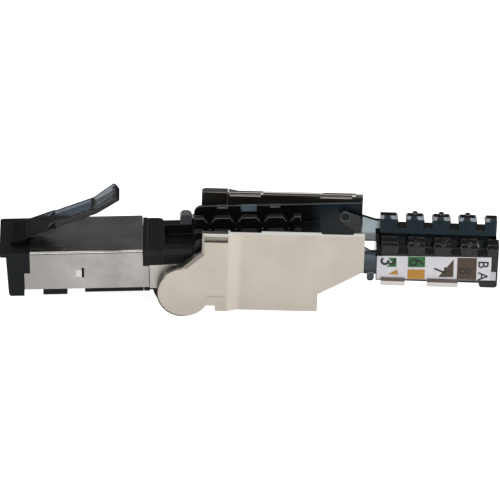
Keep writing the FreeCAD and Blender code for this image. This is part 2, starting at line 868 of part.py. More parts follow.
def wire_cap():
    """Smoky moulding that presses the wires home: two rows of fingers on a shell, and two arms."""
    shell = middle_box(cap_front, cap_end, cap_half_width, cap_bottom, cap_floor)
    pocket = middle_box(
        cap_front + cap_shell_wall,
        cap_end - cap_shell_wall,
        cap_half_width - cap_shell_wall,
        cap_bottom - cut_past,
        cap_floor - cap_roof,
    )
    shell = shell.cut(pocket)
    half_slot = [
        (finger_top_gap / 2, finger_top),
        (finger_head_gap / 2, finger_top - finger_head_height),
        (finger_slot_width / 2, finger_top - finger_head_height - finger_neck_height),
        (finger_slot_width / 2, finger_slot_bottom),
    ]
    outline = comb(
        cap_front + first_finger_gap,
        cap_end,
        cap_floor - cap_roof,
        finger_top,
        cap_slots,
        half_slot,
    )
    rail = prism(outline, finger_inner_y, cap_half_width)
    side_wedge = [
        V(cap_front, cap_half_width, finger_top),
        V(cap_front, cap_half_width - finger_side_chamfer, finger_top),
        V(cap_front, cap_half_width, finger_top - finger_head_height),
    ]
    side_wedge = Part.Face(Part.makePolygon(side_wedge + side_wedge[:1]))
    rail = rail.cut(side_wedge.extrude(V(cap_end - cap_front, 0, 0)))
    bump_y = cap_half_width + finger_bump_proud - finger_bump_radius
    bump_height = finger_top + finger_bump_rise - finger_slot_bottom
    for x in cap_slots[:-1]:
        foot = V(x + slot_pitch / 2, bump_y, finger_slot_bottom)
        rail = rail.fuse(Part.makeCylinder(finger_bump_radius, bump_height, foot))
    nub_x = cap_front - nub_front_gap - nub_length
    nub = box(
        nub_x,
        nub_x + nub_length,
        -cap_half_width,
        -cap_half_width + arm_width,
        arm_bottom - nub_drop,
        arm_bottom + arm_width,
    )
    nub = nub.makeFillet(
        nub_length * 0.45,
        edges_along_y(nub, [(nub_x, arm_bottom - nub_drop), (nub_x + nub_length, arm_bottom - nub_drop)]),
    )
    foot_x = cap_end - cap_foot_length
    cap_foot_z = cap_bottom - cap_foot_drop
    foot = middle_box(foot_x, cap_end, cap_half_width, cap_foot_z, cap_bottom)
    foot = foot.makeFillet(
        cap_foot_radius, edges_along_y(foot, [(foot_x, cap_foot_z), (cap_end, cap_foot_z)])
    )
    gusset = box(
        cap_front - gusset_length,
        cap_front + arm_width,
        -cap_half_width,
        -cap_half_width + gusset_width,
        arm_bottom,
        arm_top_end,
    )
    cap = joined([shell, foot, nub, gusset] + pair(rail) + pair(cap_arm()))
    bore = rod(
        pivot_pin_radius + bearing_clearance, 0, 0, -cap_half_width - cut_past, cap_half_width + cut_past
    )
    cap = cap.cut([bore, label_box(label_thickness)])
    return place_cap_piece(cap)


def cap_shield():
    """Steel cover plate on the cap's outer face, with tabs folded up over the cap's two sides."""
    top = cap_bottom
    bottom = top - cap_shield_thickness
    plate_half = cap_half_width - cap_shield_inset
    plate = middle_box(cap_front, cap_end - cap_shield_end_gap, plate_half, bottom, top)
    pieces = [plate]
    tab_y = cap_half_width + cap_shield_thickness
    tab_top = label_bottom + cap_tab_overlap
    for offset, length in cap_tabs:
        x = cap_front + offset
        root = box(x, x + length, plate_half, tab_y, bottom, top)
        tab = box(x, x + length, cap_half_width, tab_y, bottom - cap_tab_drop, tab_top)
        pieces += pair(joined([root, tab]))
    return place_cap_piece(joined(pieces))


def wiring_label():
    """Thin wiring guide set into the cap's near side."""
    return place_cap_piece(label_box(label_thickness))


def rim_edges(front, y):
    """The outer edges of the ear, the slope above it and the front of the wall, at the given y."""
    chosen = []
    for edge in front.Edges:
        bounds = edge.BoundBox
        flat = abs(bounds.YMin - y) < 0.01 and abs(bounds.YMax - y) < 0.01
        forward = bounds.XMax < housing_front + 0.01
        below_top = bounds.ZMin < housing_front_step + 0.01
        if flat and forward and below_top:
            chosen.append(edge)
    return chosen


def housing_side():
    """The far wall of the housing with its round ear and the boss that is its hinge pin."""
    y0 = housing_inner_half_width
    y1 = housing_half_width
    y2 = y1 + band_proud
    front_outline = [
        (0, 0),
        housing_neck,
        (housing_front, housing_front_step),
        (housing_front, housing_top),
        (band_rear, housing_top),
        (band_rear, housing_bottom),
        (housing_floor_front, housing_bottom),
        (housing_floor_front, housing_notch_top),
        (housing_notch_front, housing_notch_top),
    ]
    front = joined([prism(front_outline, y0, y2), rod(ear_radius, 0, 0, y0, y2)])
    front = front.makeChamfer(rim_chamfer, rim_edges(front, y2))
    wall_outline = [
        (band_rear, housing_top),
        (housing_rear, housing_top),
        (housing_rear, housing_rear_low[1]),
        housing_rear_low,
        (housing_floor_rear, housing_skirt),
        (housing_floor_rear, housing_bottom),
        (band_rear, housing_bottom),
    ]
    wall = prism(wall_outline, y0, y1)
    boss = rod(boss_radius, 0, 0, y0 - boss_length, y0)
    slope_base = [
        V(band_rear, y1, housing_bottom),
        V(band_rear, y2, housing_bottom),
        V(band_rear + band_slope, y1, housing_bottom),
    ]
    slope = Part.Face(Part.makePolygon(slope_base + slope_base[:1]))
    slope = slope.extrude(V(0, 0, housing_top - housing_bottom))
    pad_top = housing_notch_top + pad_height
    pad = box(pad_front, pad_rear, y2, y2 + pad_proud, housing_notch_top, pad_top)
    side = joined([front, wall, boss, slope, pad])
    slot_top = housing_top - band_slot_top_gap
    slot = box(
        housing_front + band_slot_front_gap,
        band_rear,
        y2 - band_slot_depth,
        y2 + cut_past,
        slot_top - band_slot_height,
        slot_top,
    )
    hollow = box(
        housing_front - cut_past,
        band_rear,
        y0 - cut_past,
        y0 + band_hollow_depth,
        band_hollow_z,
        housing_top + cut_past,
    )
    recesses = [
        box(
            start,
            start + length,
            y0 - cut_past,
            y0 + edge_recess_width,
            housing_top - edge_recess_depth,
            housing_top + cut_past,
        )
        for start, length in edge_recesses
    ]
    return side.cut([slot, hollow] + recesses)


def rear_housing():
    """Die-cast rear housing: a channel that swings on two ears, with a short floor."""
    floor = middle_box(
        housing_floor_front,
        housing_floor_rear,
        housing_half_width,
        housing_bottom,
        housing_bottom + housing_floor_thickness,
    )
    shape = joined([floor] + pair(housing_side()))
    shape.rotate(V(0, 0, 0), Y_AXIS, housing_tilt_deg)
    shape.translate(V(hinge_x, 0, hinge_z))
    return shape


def main():
    far_plate = hinge_plate()
    nodes = {
        "plug_nose": plug_nose(),
        "front_shield": front_shield(),
        "latch": latch(),
        "circuit_board": circuit_board(),
        "rear_body": rear_body(),
        "cap_catch": cap_catch(),
        "hinge_plate_far": far_plate,
        "hinge_plate_near": mirrored(far_plate),
        "terminal_block": terminal_block(),
        "rear_housing": rear_housing(),
        "wire_cap": wire_cap(),
        "cap_shield": cap_shield(),
        "wiring_label": wiring_label(),
    }
    for number, y in enumerate(contact_places(), 1):
        nodes["contact_%d" % number] = contact(y)
    number = 0
    for side in (-1, 1):
        for x in slot_x:
            number += 1
            nodes["terminal_blade_%d" % number] = terminal_blade(x, side)
    os.makedirs("parts", exist_ok=True)
    for name, shape in nodes.items():
        shape.exportStep("parts/%s.step" % name)
        box_of = shape.BoundBox
        print(
            "%-18s solids %d valid %s x %.2f %.2f y %.2f %.2f z %.2f %.2f"
            % (
                name,
                len(shape.Solids),
                shape.isValid(),
                box_of.XMin,
                box_of.XMax,
                box_of.YMin,
                box_of.YMax,
                box_of.ZMin,
                box_of.ZMax,
            )
        )


main()
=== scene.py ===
import json
import math

import bmesh
import bpy
from bpy.props import FloatProperty, FloatVectorProperty, IntProperty, PointerProperty
from mathutils import Matrix, Vector


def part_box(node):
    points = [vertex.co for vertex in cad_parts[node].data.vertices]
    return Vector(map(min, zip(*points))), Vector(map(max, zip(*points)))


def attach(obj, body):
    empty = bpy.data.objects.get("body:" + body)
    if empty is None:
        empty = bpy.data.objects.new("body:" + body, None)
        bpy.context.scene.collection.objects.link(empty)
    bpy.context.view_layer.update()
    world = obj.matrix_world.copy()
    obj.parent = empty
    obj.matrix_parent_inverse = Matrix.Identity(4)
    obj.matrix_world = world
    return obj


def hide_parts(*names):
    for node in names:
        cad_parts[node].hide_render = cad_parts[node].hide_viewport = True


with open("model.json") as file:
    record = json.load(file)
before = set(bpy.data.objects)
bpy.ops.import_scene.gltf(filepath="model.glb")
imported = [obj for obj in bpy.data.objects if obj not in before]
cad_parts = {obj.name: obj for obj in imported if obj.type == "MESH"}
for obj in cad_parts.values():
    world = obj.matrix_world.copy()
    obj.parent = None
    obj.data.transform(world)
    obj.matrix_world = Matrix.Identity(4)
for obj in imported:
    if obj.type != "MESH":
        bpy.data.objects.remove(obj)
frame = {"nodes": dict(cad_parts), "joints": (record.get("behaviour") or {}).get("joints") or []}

bl_info = {
    "name": "Field termination ethernet plug",
    "version": (1, 0, 0),
    "blender": (4, 5, 0),
    "location": "View3D > Sidebar > Ethernet plug",
    "description": "Finishes, contacts, blades, label print and studio of an opened ethernet plug",
    "category": "Object",
}

MM = 0.001

JOINTS = {joint["name"]: joint for joint in frame["joints"]}


# Colours and sizes that a user would change


def colour_setting(name, description, default):
    """A colour that a user can change."""
    return FloatVectorProperty(
        name=name, description=description, default=default, subtype="COLOR", size=3, min=0.0, max=1.0
    )


def length_setting(name, description, default):
    """A length that a user can change, in metres."""
    return FloatProperty(
        name=name, description=description, default=default, subtype="DISTANCE", unit="LENGTH", min=0.0
    )


class PlugFinishes(bpy.types.PropertyGroup):
    """Colours and surface sizes of the plug's materials."""

    cast_colour: colour_setting("Cast metal", "Colour of the plated zinc housing", (0.61, 0.56, 0.49))
    steel_colour: colour_setting(
        "Sleeve steel", "Colour of the rolled steel sleeve and the cap's cover", (0.45, 0.43, 0.41)
    )
    cheek_colour: colour_setting("Cheek metal", "Colour of the bright hinge plates", (0.57, 0.54, 0.5))
    black_colour: colour_setting("Black plastic", "Colour of the black mouldings", (0.0065, 0.0068, 0.0075))
    smoky_colour: colour_setting(
        "Smoky plastic", "Colour that light takes on inside the smoky mouldings", (0.35, 0.45, 0.49)
    )
    latch_colour: colour_setting(
        "Latch plastic", "Colour that light takes on inside the denser latch", (0.15, 0.2, 0.26)
    )
    carrier_colour: colour_setting(
        "Carrier plastic", "Colour of the glossy, almost black terminal block", (0.0055, 0.0055, 0.0055)
    )
    tin_colour: colour_setting("Blade metal", "Colour of the tinned terminal blades", (0.2, 0.2, 0.2))
    gold_colour: colour_setting("Contact gold", "Colour of the plated contacts", (0.83, 0.62, 0.25))
    edge_radius: length_setting(
        "Edge radius", "Rounding that edges seem to have where they catch the light", 0.00012
    )


class LabelPrint(bpy.types.PropertyGroup):
    """Colours of the print on the wiring label."""

    film_colour: colour_setting("Film", "Ground colour of the label", (0.72, 0.7, 0.74))
    green_colour: colour_setting("Green", "Colour of the green wire fields", (0.018, 0.14, 0.032))
    orange_colour: colour_setting("Orange", "Colour of the orange wire fields", (0.49, 0.24, 0.038))
    brown_colour: colour_setting("Brown", "Colour of the brown wire fields", (0.068, 0.042, 0.025))
    ink_colour: colour_setting("Ink", "Colour of the characters", (0.012, 0.014, 0.014))
    ink_thickness: length_setting("Ink thickness", "How far the print stands on the film", 0.00001)


class ContactSizes(bpy.types.PropertyGroup):
    """Sizes of the contacts in the nose and of the blades in the terminal block."""

    contact_count: IntProperty(
        name="Contacts", description="Number of contacts in the nose", min=1, default=8,
    )
    contact_pitch: length_setting("Contact pitch", "Distance from one contact to the next", 0.00102)
    contact_bend: length_setting("Contact bend", "Radius of the contact's rounded front", 0.0006)
    blade_count: IntProperty(
        name="Blades in a row", description="Number of blades in each of the two rows", min=2, default=4,
    )
    blade_slit: length_setting("Blade slit", "Width of the slit that takes a wire", 0.0003)
    metal_bevel: length_setting("Metal bevel", "Rounding of stamped edges", 0.00004)


class MouldedSizes(bpy.types.PropertyGroup):
    """Sizes by which the visible latch and wire cap are finished."""

    latch_bend_at: length_setting("Latch bend", "Where the latch bends, from its root", 0.0131)
    latch_shift: length_setting("Latch shift", "How much longer the lever is before its bend", 0.0004)
    latch_tip_drop: FloatProperty(
        name="Tip drop", description="How much flatter the tip stands", subtype="ANGLE",
        default=math.radians(6.0),
    )
    latch_tip_scale: FloatProperty(
        name="Tip scale", description="Length of the tip against the solid's",
        min=0.5, max=1.5, default=0.95,
    )
    near_arm_top: length_setting(
        "Near arm's top", "Upper edge of the near arm where it meets the cap, below the pivot", 0.00155
    )
    far_arm_rise: length_setting("Far arm's rise", "How far the far arm's lower edge is raised", 0.00055)
    head_slope: length_setting("Head slope", "Width of the slope on the far fingers' heads", 0.00075)
    ring_radius: length_setting("Ring radius", "Radius of the ring round the far arm's pivot", 0.00082)
    ring_thickness: length_setting("Ring thickness", "Thickness of that ring", 0.00016)
    arm_inner_face: length_setting(
        "Arm face", "How far the far arm's inner face is from the middle", 0.00435
    )


class StudioSettings(bpy.types.PropertyGroup):
    """Camera, light and floor."""

    elevation: FloatProperty(
        name="Elevation", description="Height angle of the camera",
        subtype="ANGLE", default=math.radians(28.5),
    )
    roll: FloatProperty(
        name="Roll", description="Turn of the camera about its view",
        subtype="ANGLE", default=math.radians(-1.2),
    )
    frame_width: length_setting("Frame width", "Width of the picture at the plug", 0.0769)
    lens: FloatProperty(
        name="Lens", description="Focal length on a 36 mm sensor, in millimetres", default=600.0,
    )
    aim: FloatVectorProperty(
        name="Aim", description="Point that the camera looks at",
        subtype="TRANSLATION", unit="LENGTH", size=3, default=(0.0001, 0.0, 0.0071),
    )
    room_light: FloatProperty(
        name="Room light", description="Brightness of the room all round", min=0.0, default=0.6,
    )
    key_power: FloatProperty(
        name="Key light", description="Power of the large lamp above the front",
        unit="POWER", min=0.0, default=1.7,
    )


# Nodes


def fill(tree, node, inputs):
    """Gives a node its inputs, each by name or number and as a socket or a value."""
    for label, value in inputs.items():
        socket = node.inputs[label]
        if isinstance(value, bpy.types.NodeSocket):
            tree.links.new(value, socket)
        elif socket.type == "RGBA":
            socket.default_value = (*value, 1.0)
        else:
            socket.default_value = value


def new_node(tree, kind, inputs, **settings):
    """A node with its settings and inputs."""
    node = tree.nodes.new(kind)
    for label, value in settings.items():
        setattr(node, label, value)
    fill(tree, node, inputs)
    return node


def math_node(tree, operation, first, second=0.5):
    """A sum, product or the like of sockets or numbers."""
    return new_node(tree, "ShaderNodeMath", {0: first, 1: second}, operation=operation).outputs[0]


def largest(tree, *values):
    """The largest of several values, which is where any of several masks is set."""
    result = values[0]
    for value in values[1:]:
        result = math_node(tree, "MAXIMUM", result, value)
    return result


def all_of(tree, *masks):
    """Where every mask is set."""
    result = masks[0]
    for mask in masks[1:]:
        result = math_node(tree, "MULTIPLY", result, mask)
    return result


def opposite(tree, mask):
    """Where a mask is not set."""
    return math_node(tree, "SUBTRACT", 1.0, mask)


def noise_node(tree, vector, scale, detail):
    """Noise at a scale that is a socket or a number."""
    inputs = {"Vector": vector, "Scale": scale, "Detail": detail, "Roughness": 0.55}
    return new_node(tree, "ShaderNodeTexNoise", inputs).outputs["Fac"]


def step_mask(tree, value, low, high):
    """0 below low, 1 above high and even in between. Low may be the larger of the two."""
    inputs = {"Value": value, "From Min": low, "From Max": high}
    return new_node(tree, "ShaderNodeMapRange", inputs).outputs["Result"]


def spread(tree, noise, low, high):
    """Noise, most of which is between 0.3 and 0.7, turned into the range from low to high."""
    inputs = {"Value": noise, "From Min": 0.3, "From Max": 0.7, "To Min": low, "To Max": high}
    return new_node(tree, "ShaderNodeMapRange", inputs).outputs["Result"]


def mixed_colour(tree, factor, first, second):
    """A colour between two colours or sockets."""
    inputs = {"Factor": factor, "A": first, "B": second}
    return new_node(tree, "ShaderNodeMix", inputs, data_type="RGBA").outputs["Result"]


def painted(tree, base, *layers):
    """The base colour with each layer's colour where the layer's mask is set."""
    for mask, colour in layers:
        base = mixed_colour(tree, mask, base, colour)
    return base


def bump_from(tree, height, normal, distance, strength):
    """A bump on top of a normal."""
    inputs = {"Height": height, "Normal": normal, "Distance": distance, "Strength": strength}
    return new_node(tree, "ShaderNodeBump", inputs).outputs["Normal"]


# Shader node groups that several materials share


FLOAT = "NodeSocketFloat"
VECTOR = "NodeSocketVector"
LENGTHS = ("Along", "Across", "Up", "Reach")
DIRECTIONS = ("Side", "Facing along", "Facing far", "Facing out", "Facing up")


def new_group(name, inputs, outputs):
    """An empty shader group with named sockets, and its input and output nodes."""
    group = bpy.data.node_groups.new(name, "ShaderNodeTree")
    for label, (kind, value) in inputs.items():
        socket = group.interface.new_socket(name=label, in_out="INPUT", socket_type=kind)
        socket.default_value = value
    for label, kind in outputs.items():
        group.interface.new_socket(name=label, in_out="OUTPUT", socket_type=kind)
    return group, group.nodes.new("NodeGroupInput").outputs, group.nodes.new("NodeGroupOutput")


def soft_edges_group():
    """Edges that look slightly rounded, with a mask of where they are."""
    group, given, end = new_group(
        "soft_edges",
        {"Radius": (FLOAT, 0.0001), "Gain": (FLOAT, 3.0)},
        {"Normal": VECTOR, "Edge": FLOAT},
    )
    bevel = new_node(group, "ShaderNodeBevel", {"Radius": given["Radius"]}, samples=6).outputs["Normal"]
    true_normal = group.nodes.new("ShaderNodeNewGeometry").outputs["Normal"]
    alike = new_node(group, "ShaderNodeVectorMath", {0: bevel, 1: true_normal}, operation="DOT_PRODUCT")
    gained = math_node(group, "MULTIPLY", opposite(group, alike.outputs["Value"]), given["Gain"])
    limited = new_node(group, "ShaderNodeClamp", {"Value": gained}).outputs["Result"]
    fill(group, end, {"Normal": bevel, "Edge": limited})


def grain_group():
    """Fine grain and broad clouds, for castings and mouldings."""
    group, given, end = new_group(
        "grain",
        {"Fine scale": (FLOAT, 3000.0), "Cloud scale": (FLOAT, 150.0)},
        {"Fine": FLOAT, "Cloud": FLOAT},
    )
    place = group.nodes.new("ShaderNodeTexCoord").outputs["Object"]
    fine = noise_node(group, place, given["Fine scale"], 4.0)
    cloud = noise_node(group, place, given["Cloud scale"], 2.0)
    fill(group, end, {"Fine": fine, "Cloud": cloud})


def rolled_lines_group():
    """Long fine lines along X, as rolling leaves them on sheet metal."""
    group, given, end = new_group("rolled_lines", {"Scale": (FLOAT, 5000.0)}, {"Lines": FLOAT})
    place = group.nodes.new("ShaderNodeTexCoord").outputs["Object"]
    stretched = new_node(group, "ShaderNodeMapping", {"Vector": place, "Scale": (0.03, 1.0, 1.0)})
    fill(group, end, {"Lines": noise_node(group, stretched.outputs["Vector"], given["Scale"], 3.0)})


def turned_frame_group():
    """Distances and facing in a frame that is turned about Y: along it, across the plug and upwards."""
    group, given, end = new_group(
        "turned_frame",
        {"Start": (VECTOR, (0.0, 0.0, 0.0)), "Turn": (VECTOR, (0.0, 0.0, 0.0))},
        {label: FLOAT for label in LENGTHS + DIRECTIONS},
    )
    place = group.nodes.new("ShaderNodeTexCoord").outputs
    from_start = new_node(
        group, "ShaderNodeVectorMath", {0: place["Object"], 1: given["Start"]}, operation="SUBTRACT"
    )
    parts = []
    for vector in (from_start.outputs[0], place["Normal"]):
        inputs = {"Vector": vector, "Rotation": given["Turn"]}
        level = new_node(group, "ShaderNodeVectorRotate", inputs, rotation_type="EULER_XYZ", invert=True)
        parts.append(new_node(group, "ShaderNodeSeparateXYZ", {0: level.outputs["Vector"]}).outputs)
    where, facing = parts
    side = math_node(group, "SIGN", where["Y"])
    squares = [math_node(group, "MULTIPLY", where[axis], where[axis]) for axis in "XZ"]
    fill(
        group,
        end,
        {
            "Along": where["X"],
            "Across": math_node(group, "ABSOLUTE", where["Y"]),
            "Up": where["Z"],
            "Reach": math_node(group, "SQRT", math_node(group, "ADD", *squares)),
            "Side": side,
            "Facing along": facing["X"],
            "Facing far": facing["Y"],
            "Facing out": math_node(group, "MULTIPLY", facing["Y"], side),
            "Facing up": facing["Z"],
        },
    )


# Materials


# Places where a finish gets another colour, many of them painted light and shade. Each limit is a measure of
# the turned frame, the value where it starts and the value where it is full. Distances are in millimetres.
FACING_OUT = ("Facing out", 0.5, 0.6)
FACING_UP = ("Facing up", 0.6, 0.8)
FAR_SIDE = ("Side", 0.1, 0.2)
NEAR_SIDE = ("Side", 0.2, 0.1)
HOUSING_PLACES = {
    "inside": (("Facing out", -0.4, -0.6), ("Across", 6.6, 6.5)),
    "band": (("Along", 6.65, 6.6), FACING_UP),
    "inner band": (("Across", 7.15, 7.1),),
    # Painted highlight on the slope behind the band
    "slope": (FACING_OUT, ("Along", 6.5, 6.9), ("Along", 8.9, 8.0)),
    # The top faces, which get a painted highlight, and painted shade on the far notches
    "top": (FACING_UP, ("Up", 9.9, 9.95)),
    # The slot below the top, which gets painted shade
    "slot": (
        ("Along", 6.65, 6.6),
        ("Along", 2.9, 2.95),
        ("Across", 7.82, 7.8),
        ("Up", 8.88, 8.9),
        ("Up", 9.83, 9.81),
        ("Facing out", -0.3, -0.2),
    ),
    "outward": (FACING_OUT,),
    "upward": (FACING_UP,),
    "slot's top": (("Up", 9.4, 9.45),),
    # Painted shade along the ear's rim, at its front and bottom
    "ear rim shade": (("Reach", 3.84, 3.92), ("Along", 0.6, -0.4), ("Up", 3.0, 2.4)),
    "front notch": (("Along", 6.8, 6.9), ("Along", 12.1, 12.0)),
    "rear notch": (("Along", 21.3, 21.4), ("Along", 26.4, 26.3)),
    "wall's outer half": (("Across", 6.55, 6.6),),
    "far side": (FAR_SIDE,),
    # The far notches' floors, which get the top faces' painted highlight
    "notch floor": (FACING_UP, FAR_SIDE, ("Up", 8.9, 9.0)),
}
SLEEVE_PLACES = {
    # Painted shade on the sleeve's side, darker towards its front end
    "side shade": (("Facing out", 0.5, 0.7), ("Along", -26.0, -35.0)),
    # Painted highlight on the lance's crown
    "lance": (("Across", 5.97, 5.99), ("Along", -27.4, -26.9), ("Along", -24.0, -24.1)),
}
COVER_PLACES = {
    "upper tab": (("Up", -5.72, -5.62),),
}
BLACK_PLACES = {
    # Painted shade on the tops
    "top": (("Facing up", 0.4, 0.6),),
    # A painted bluish sheen on the sides
    "side": (("Facing out", 0.5, 0.7),),
}
CARRIER_PLACES = {
    "plates": (("Along", 9.6, 10.6),),
    "notch": (
        ("Across", 5.45, 5.5),
        ("Across", 5.6, 5.55),
        ("Facing out", -0.8, -0.9),
        ("Up", 11.0, 11.05),
        ("Along", 8.0, 7.9),
    ),
    "middle": (("Along", -1.6, -1.5), ("Along", 1.7, 1.6)),
    "inner brow": (("Across", 2.3, 2.2),),
    "outer brow": (("Across", 4.0, 4.1),),
    "far top": (("Side", 0.0, 0.5), ("Up", 10.9, 11.2)),
}
CAP_PLACES = {
    "shell": (("Along", 4.8, 5.4),),
    "low arm": (("Along", 1.0, 2.4), ("Up", -2.6, -3.0)),
    "deck": (("Facing up", 0.7, 0.8), ("Up", 0.3, 0.2)),
    "head": (("Along", 5.0, 5.1), ("Up", 0.3, 0.36)),
    "head slope": (("Facing far", -0.12, -0.2), ("Facing up", 0.3, 0.4)),
    "far row": (FAR_SIDE,),
    "near row": (NEAR_SIDE,),
    # Painted highlight lines on the near heads, along their front top and their inner corners
    "front highlight line": (("Across", 5.18, 5.17), FACING_OUT, ("Up", 0.64, 0.68)),
    "inner highlight line": (("Facing up", 0.5, 0.6), ("Across", 3.35, 3.3)),
    "nub": (("Up", -4.55, -4.75), ("Along", 4.6, 4.5)),
}
LATCH_PLACES = {
    "free": (("Along", -34.2, -33.4),),
    "root": (("Along", -34.15, -34.2),),
    "tip": (("Along", -23.8, -23.4),),
    # Painted shade on the tip's end face, which is also solid
    "shaded end face": (("Along", -23.8, -23.4), ("Facing along", 0.3, 0.5)),
}
# The painted highlight on the cap's finger heads: how far apart they are, where the first one's middle is,
# the slant and the start of the highlight at a head's corners, and how strong it is on the near row
FINGER_PITCH = 4.08 * MM
FIRST_FINGER = 6.5 * MM
HIGHLIGHT_SLANT = 0.7
HIGHLIGHT_CORNER = (0.95 * MM, 1.05 * MM)
NEAR_HIGHLIGHT = 0.2

CAP_DROOP = math.radians(JOINTS["cap_hinge"]["range_deg"][1] - 180.0)
HOUSING_TILT = -math.radians(JOINTS["housing_hinge"]["range_deg"][0])

# The housing's dark inside, also used for painted shade on the band's top and the far notches
HOUSING_DARK_AND_SHADE = (0.13, 0.12, 0.108)
# Painted highlight on the housing's top faces and notch floors
HOUSING_TOP_HIGHLIGHT = (0.7, 0.68, 0.64)
TAB_BROWN = (0.12, 0.1, 0.085)
# The painted bluish sheen on the black mouldings' sides
BLACK_SIDE_SHEEN = (0.0105, 0.0125, 0.0138)
CARRIER_PLATES = (0.009, 0.015, 0.02)
CARRIER_NOTCH = (0.05, 0.055, 0.06)
CARRIER_MIDDLE_NOTCH = (0.13, 0.17, 0.2)
CATCH_GREY = (0.075, 0.079, 0.086)
CLEAR = (1.0, 1.0, 1.0)
CAP_SHELL = (0.4, 0.39, 0.385)
CAP_DECK = (0.16, 0.15, 0.15)
# Painted highlight at the corners of the finger heads' slopes, and painted shade between the corners
CAP_CORNER_HIGHLIGHT = (0.1, 0.11, 0.12)
CAP_SLOPE_SHADE = (0.01, 0.012, 0.014)
# The painted highlight lines on the near row's heads
CAP_LINE_HIGHLIGHT = (0.15, 0.15, 0.145)
CAP_NUB = (0.12, 0.13, 0.15)
LATCH_ROOT = (0.024, 0.025, 0.027)
LATCH_LEVER = (0.68, 0.73, 0.79)
# The painted shade on the latch tip's end face
LATCH_END_SHADE = (0.02, 0.024, 0.028)
BOARD_GREENS = ((0.03, 0.13, 0.05), (0.035, 0.155, 0.06))

# Each black moulding's roughness, its shine and how much lighter its edges are painted as a highlight
BLACK_FINISHES = {
    "black_plastic": ((0.3, 0.4), 0.11, 12.0),
    "carrier_plastic": ((0.18, 0.26), 0.3, 50.0),
    "catch_plastic": ((0.25, 0.35), 0.5, 3.0),
}
# How dense the see-through mouldings are, how much rounder the carrier's edges look, and the step's painted
# shade
SMOKY_DENSITY = 2000.0
LATCH_DENSITY = 4000.0
CARRIER_ROUNDING = 1.8
STEP_SHADE = 0.8


# The materials made here, by finish, because the frame's own plain materials have some of the same names
MADE = {}


def new_material(finish):
    """A new material's tree and its empty Principled shader."""
    material = bpy.data.materials.new(finish)
    material.use_nodes = True
    MADE[finish] = material
    return material.node_tree, material.node_tree.nodes["Principled BSDF"]


def shared(tree, group, inputs):
    """The outputs of a shared group in a material."""
    return new_node(tree, "ShaderNodeGroup", inputs, node_tree=bpy.data.node_groups[group]).outputs


def masks_of(tree, places, joint=None, turn=0.0):
    """A mask for each named place, with the measures of the turned frame itself."""
    start = JOINTS[joint]["pos_m"] if joint else (0.0, 0.0, 0.0)
    at = dict(shared(tree, "turned_frame", {"Start": start, "Turn": (0.0, turn, 0.0)}).items())
    for name, limits in places.items():
        steps = []
        for measure, low, high in limits:
            unit = MM if measure in LENGTHS else 1.0
            steps.append(step_mask(tree, at[measure], low * unit, high * unit))
        at[name] = all_of(tree, *steps)
    return at


def lighter(colour, amount):
    """A colour times an amount, which makes it darker below 1."""
    return tuple(min(1.0, channel * amount) for channel in colour)


def clouded(tree, cloud, colour, low, high):
    """A colour that is uneven between two shares of itself."""
    return mixed_colour(tree, spread(tree, cloud, 0.0, 1.0), lighter(colour, low), lighter(colour, high))


def cast_metal(colour, radius, name="cast_metal"):
    """Plated zinc casting: satin, faintly mottled, with a painted highlight along its edges."""
    tree, shader = new_material(name)
    grain = shared(tree, "grain", {"Fine scale": 2600.0, "Cloud scale": 160.0})
    edges = shared(tree, "soft_edges", {"Radius": radius})
    base = clouded(tree, grain["Cloud"], colour, 0.93, 1.05)
    metal = 1.0
    highlit_edge = edges["Edge"]
    if name == "cast_metal":
        base, metal, ear_rim_shade = housing_shades(tree, base, colour)
        # No painted edge highlight on the ear's rim, which has painted shade
        highlit_edge = all_of(tree, highlit_edge, opposite(tree, ear_rim_shade))
    looks = {
        # Painted highlight: the base colour is lighter along the edges
        "Base Color": mixed_colour(tree, highlit_edge, base, lighter(colour, 1.25)),
        "Metallic": metal,
        "Roughness": spread(tree, grain["Fine"], 0.33, 0.45),
        "Normal": bump_from(tree, grain["Fine"], edges["Normal"], 0.00002, 0.35),
    }
    fill(tree, shader, looks)


def housing_shades(tree, base, colour):
    """The housing's dark inside, painted highlights on the slope behind the band and on the top faces,
    and painted shade in the slot, along the ear's rim, on the band's top and on the far notches.
    """
    at = masks_of(tree, HOUSING_PLACES, "housing_hinge", HOUSING_TILT)
    # Painted shade in the slot: darker on its floor, and dark lines under its top and on its upward faces
    slot_floor_shade = all_of(tree, at["slot"], at["outward"])
    slot_shade_lines = largest(
        tree, all_of(tree, slot_floor_shade, at["slot's top"]), all_of(tree, at["slot"], at["upward"])
    )
    # Painted shade on the far wall's top: its outer half in the notches, its inner half elsewhere
    notch = largest(tree, at["front notch"], at["rear notch"])
    same = math_node(tree, "ABSOLUTE", math_node(tree, "SUBTRACT", at["wall's outer half"], notch))
    far_shade = all_of(tree, at["top"], at["far side"], opposite(tree, same))
    # Painted shade on the band's top: its inner part, and all of it on the far side
    band_top = all_of(tree, at["band"], largest(tree, at["inner band"], at["far side"]))
    # The dark inside, with the painted shade
    dark = largest(tree, at["inside"], band_top, far_shade)
    # The top faces' painted highlight is also less metallic
    top_highlight = all_of(tree, at["top"], opposite(tree, dark))
    base = painted(
        tree,
        base,
        # Painted highlights on the slope and the top faces
        (at["slope"], lighter(colour, 1.18)),
        (at["top"], HOUSING_TOP_HIGHLIGHT),
        # Painted shade in the slot, along the ear's rim, on the band's top and on the far notches
        (slot_floor_shade, lighter(colour, 0.8)),
        (slot_shade_lines, lighter(colour, 0.16)),
        (at["ear rim shade"], lighter(colour, 0.16)),
        # Painted highlight on the far notches' floors
        (all_of(tree, notch, at["notch floor"]), HOUSING_TOP_HIGHLIGHT),
        (dark, HOUSING_DARK_AND_SHADE),
    )
    metal = opposite(tree, math_node(tree, "MULTIPLY", top_highlight, 0.8))
    return base, metal, at["ear rim shade"]


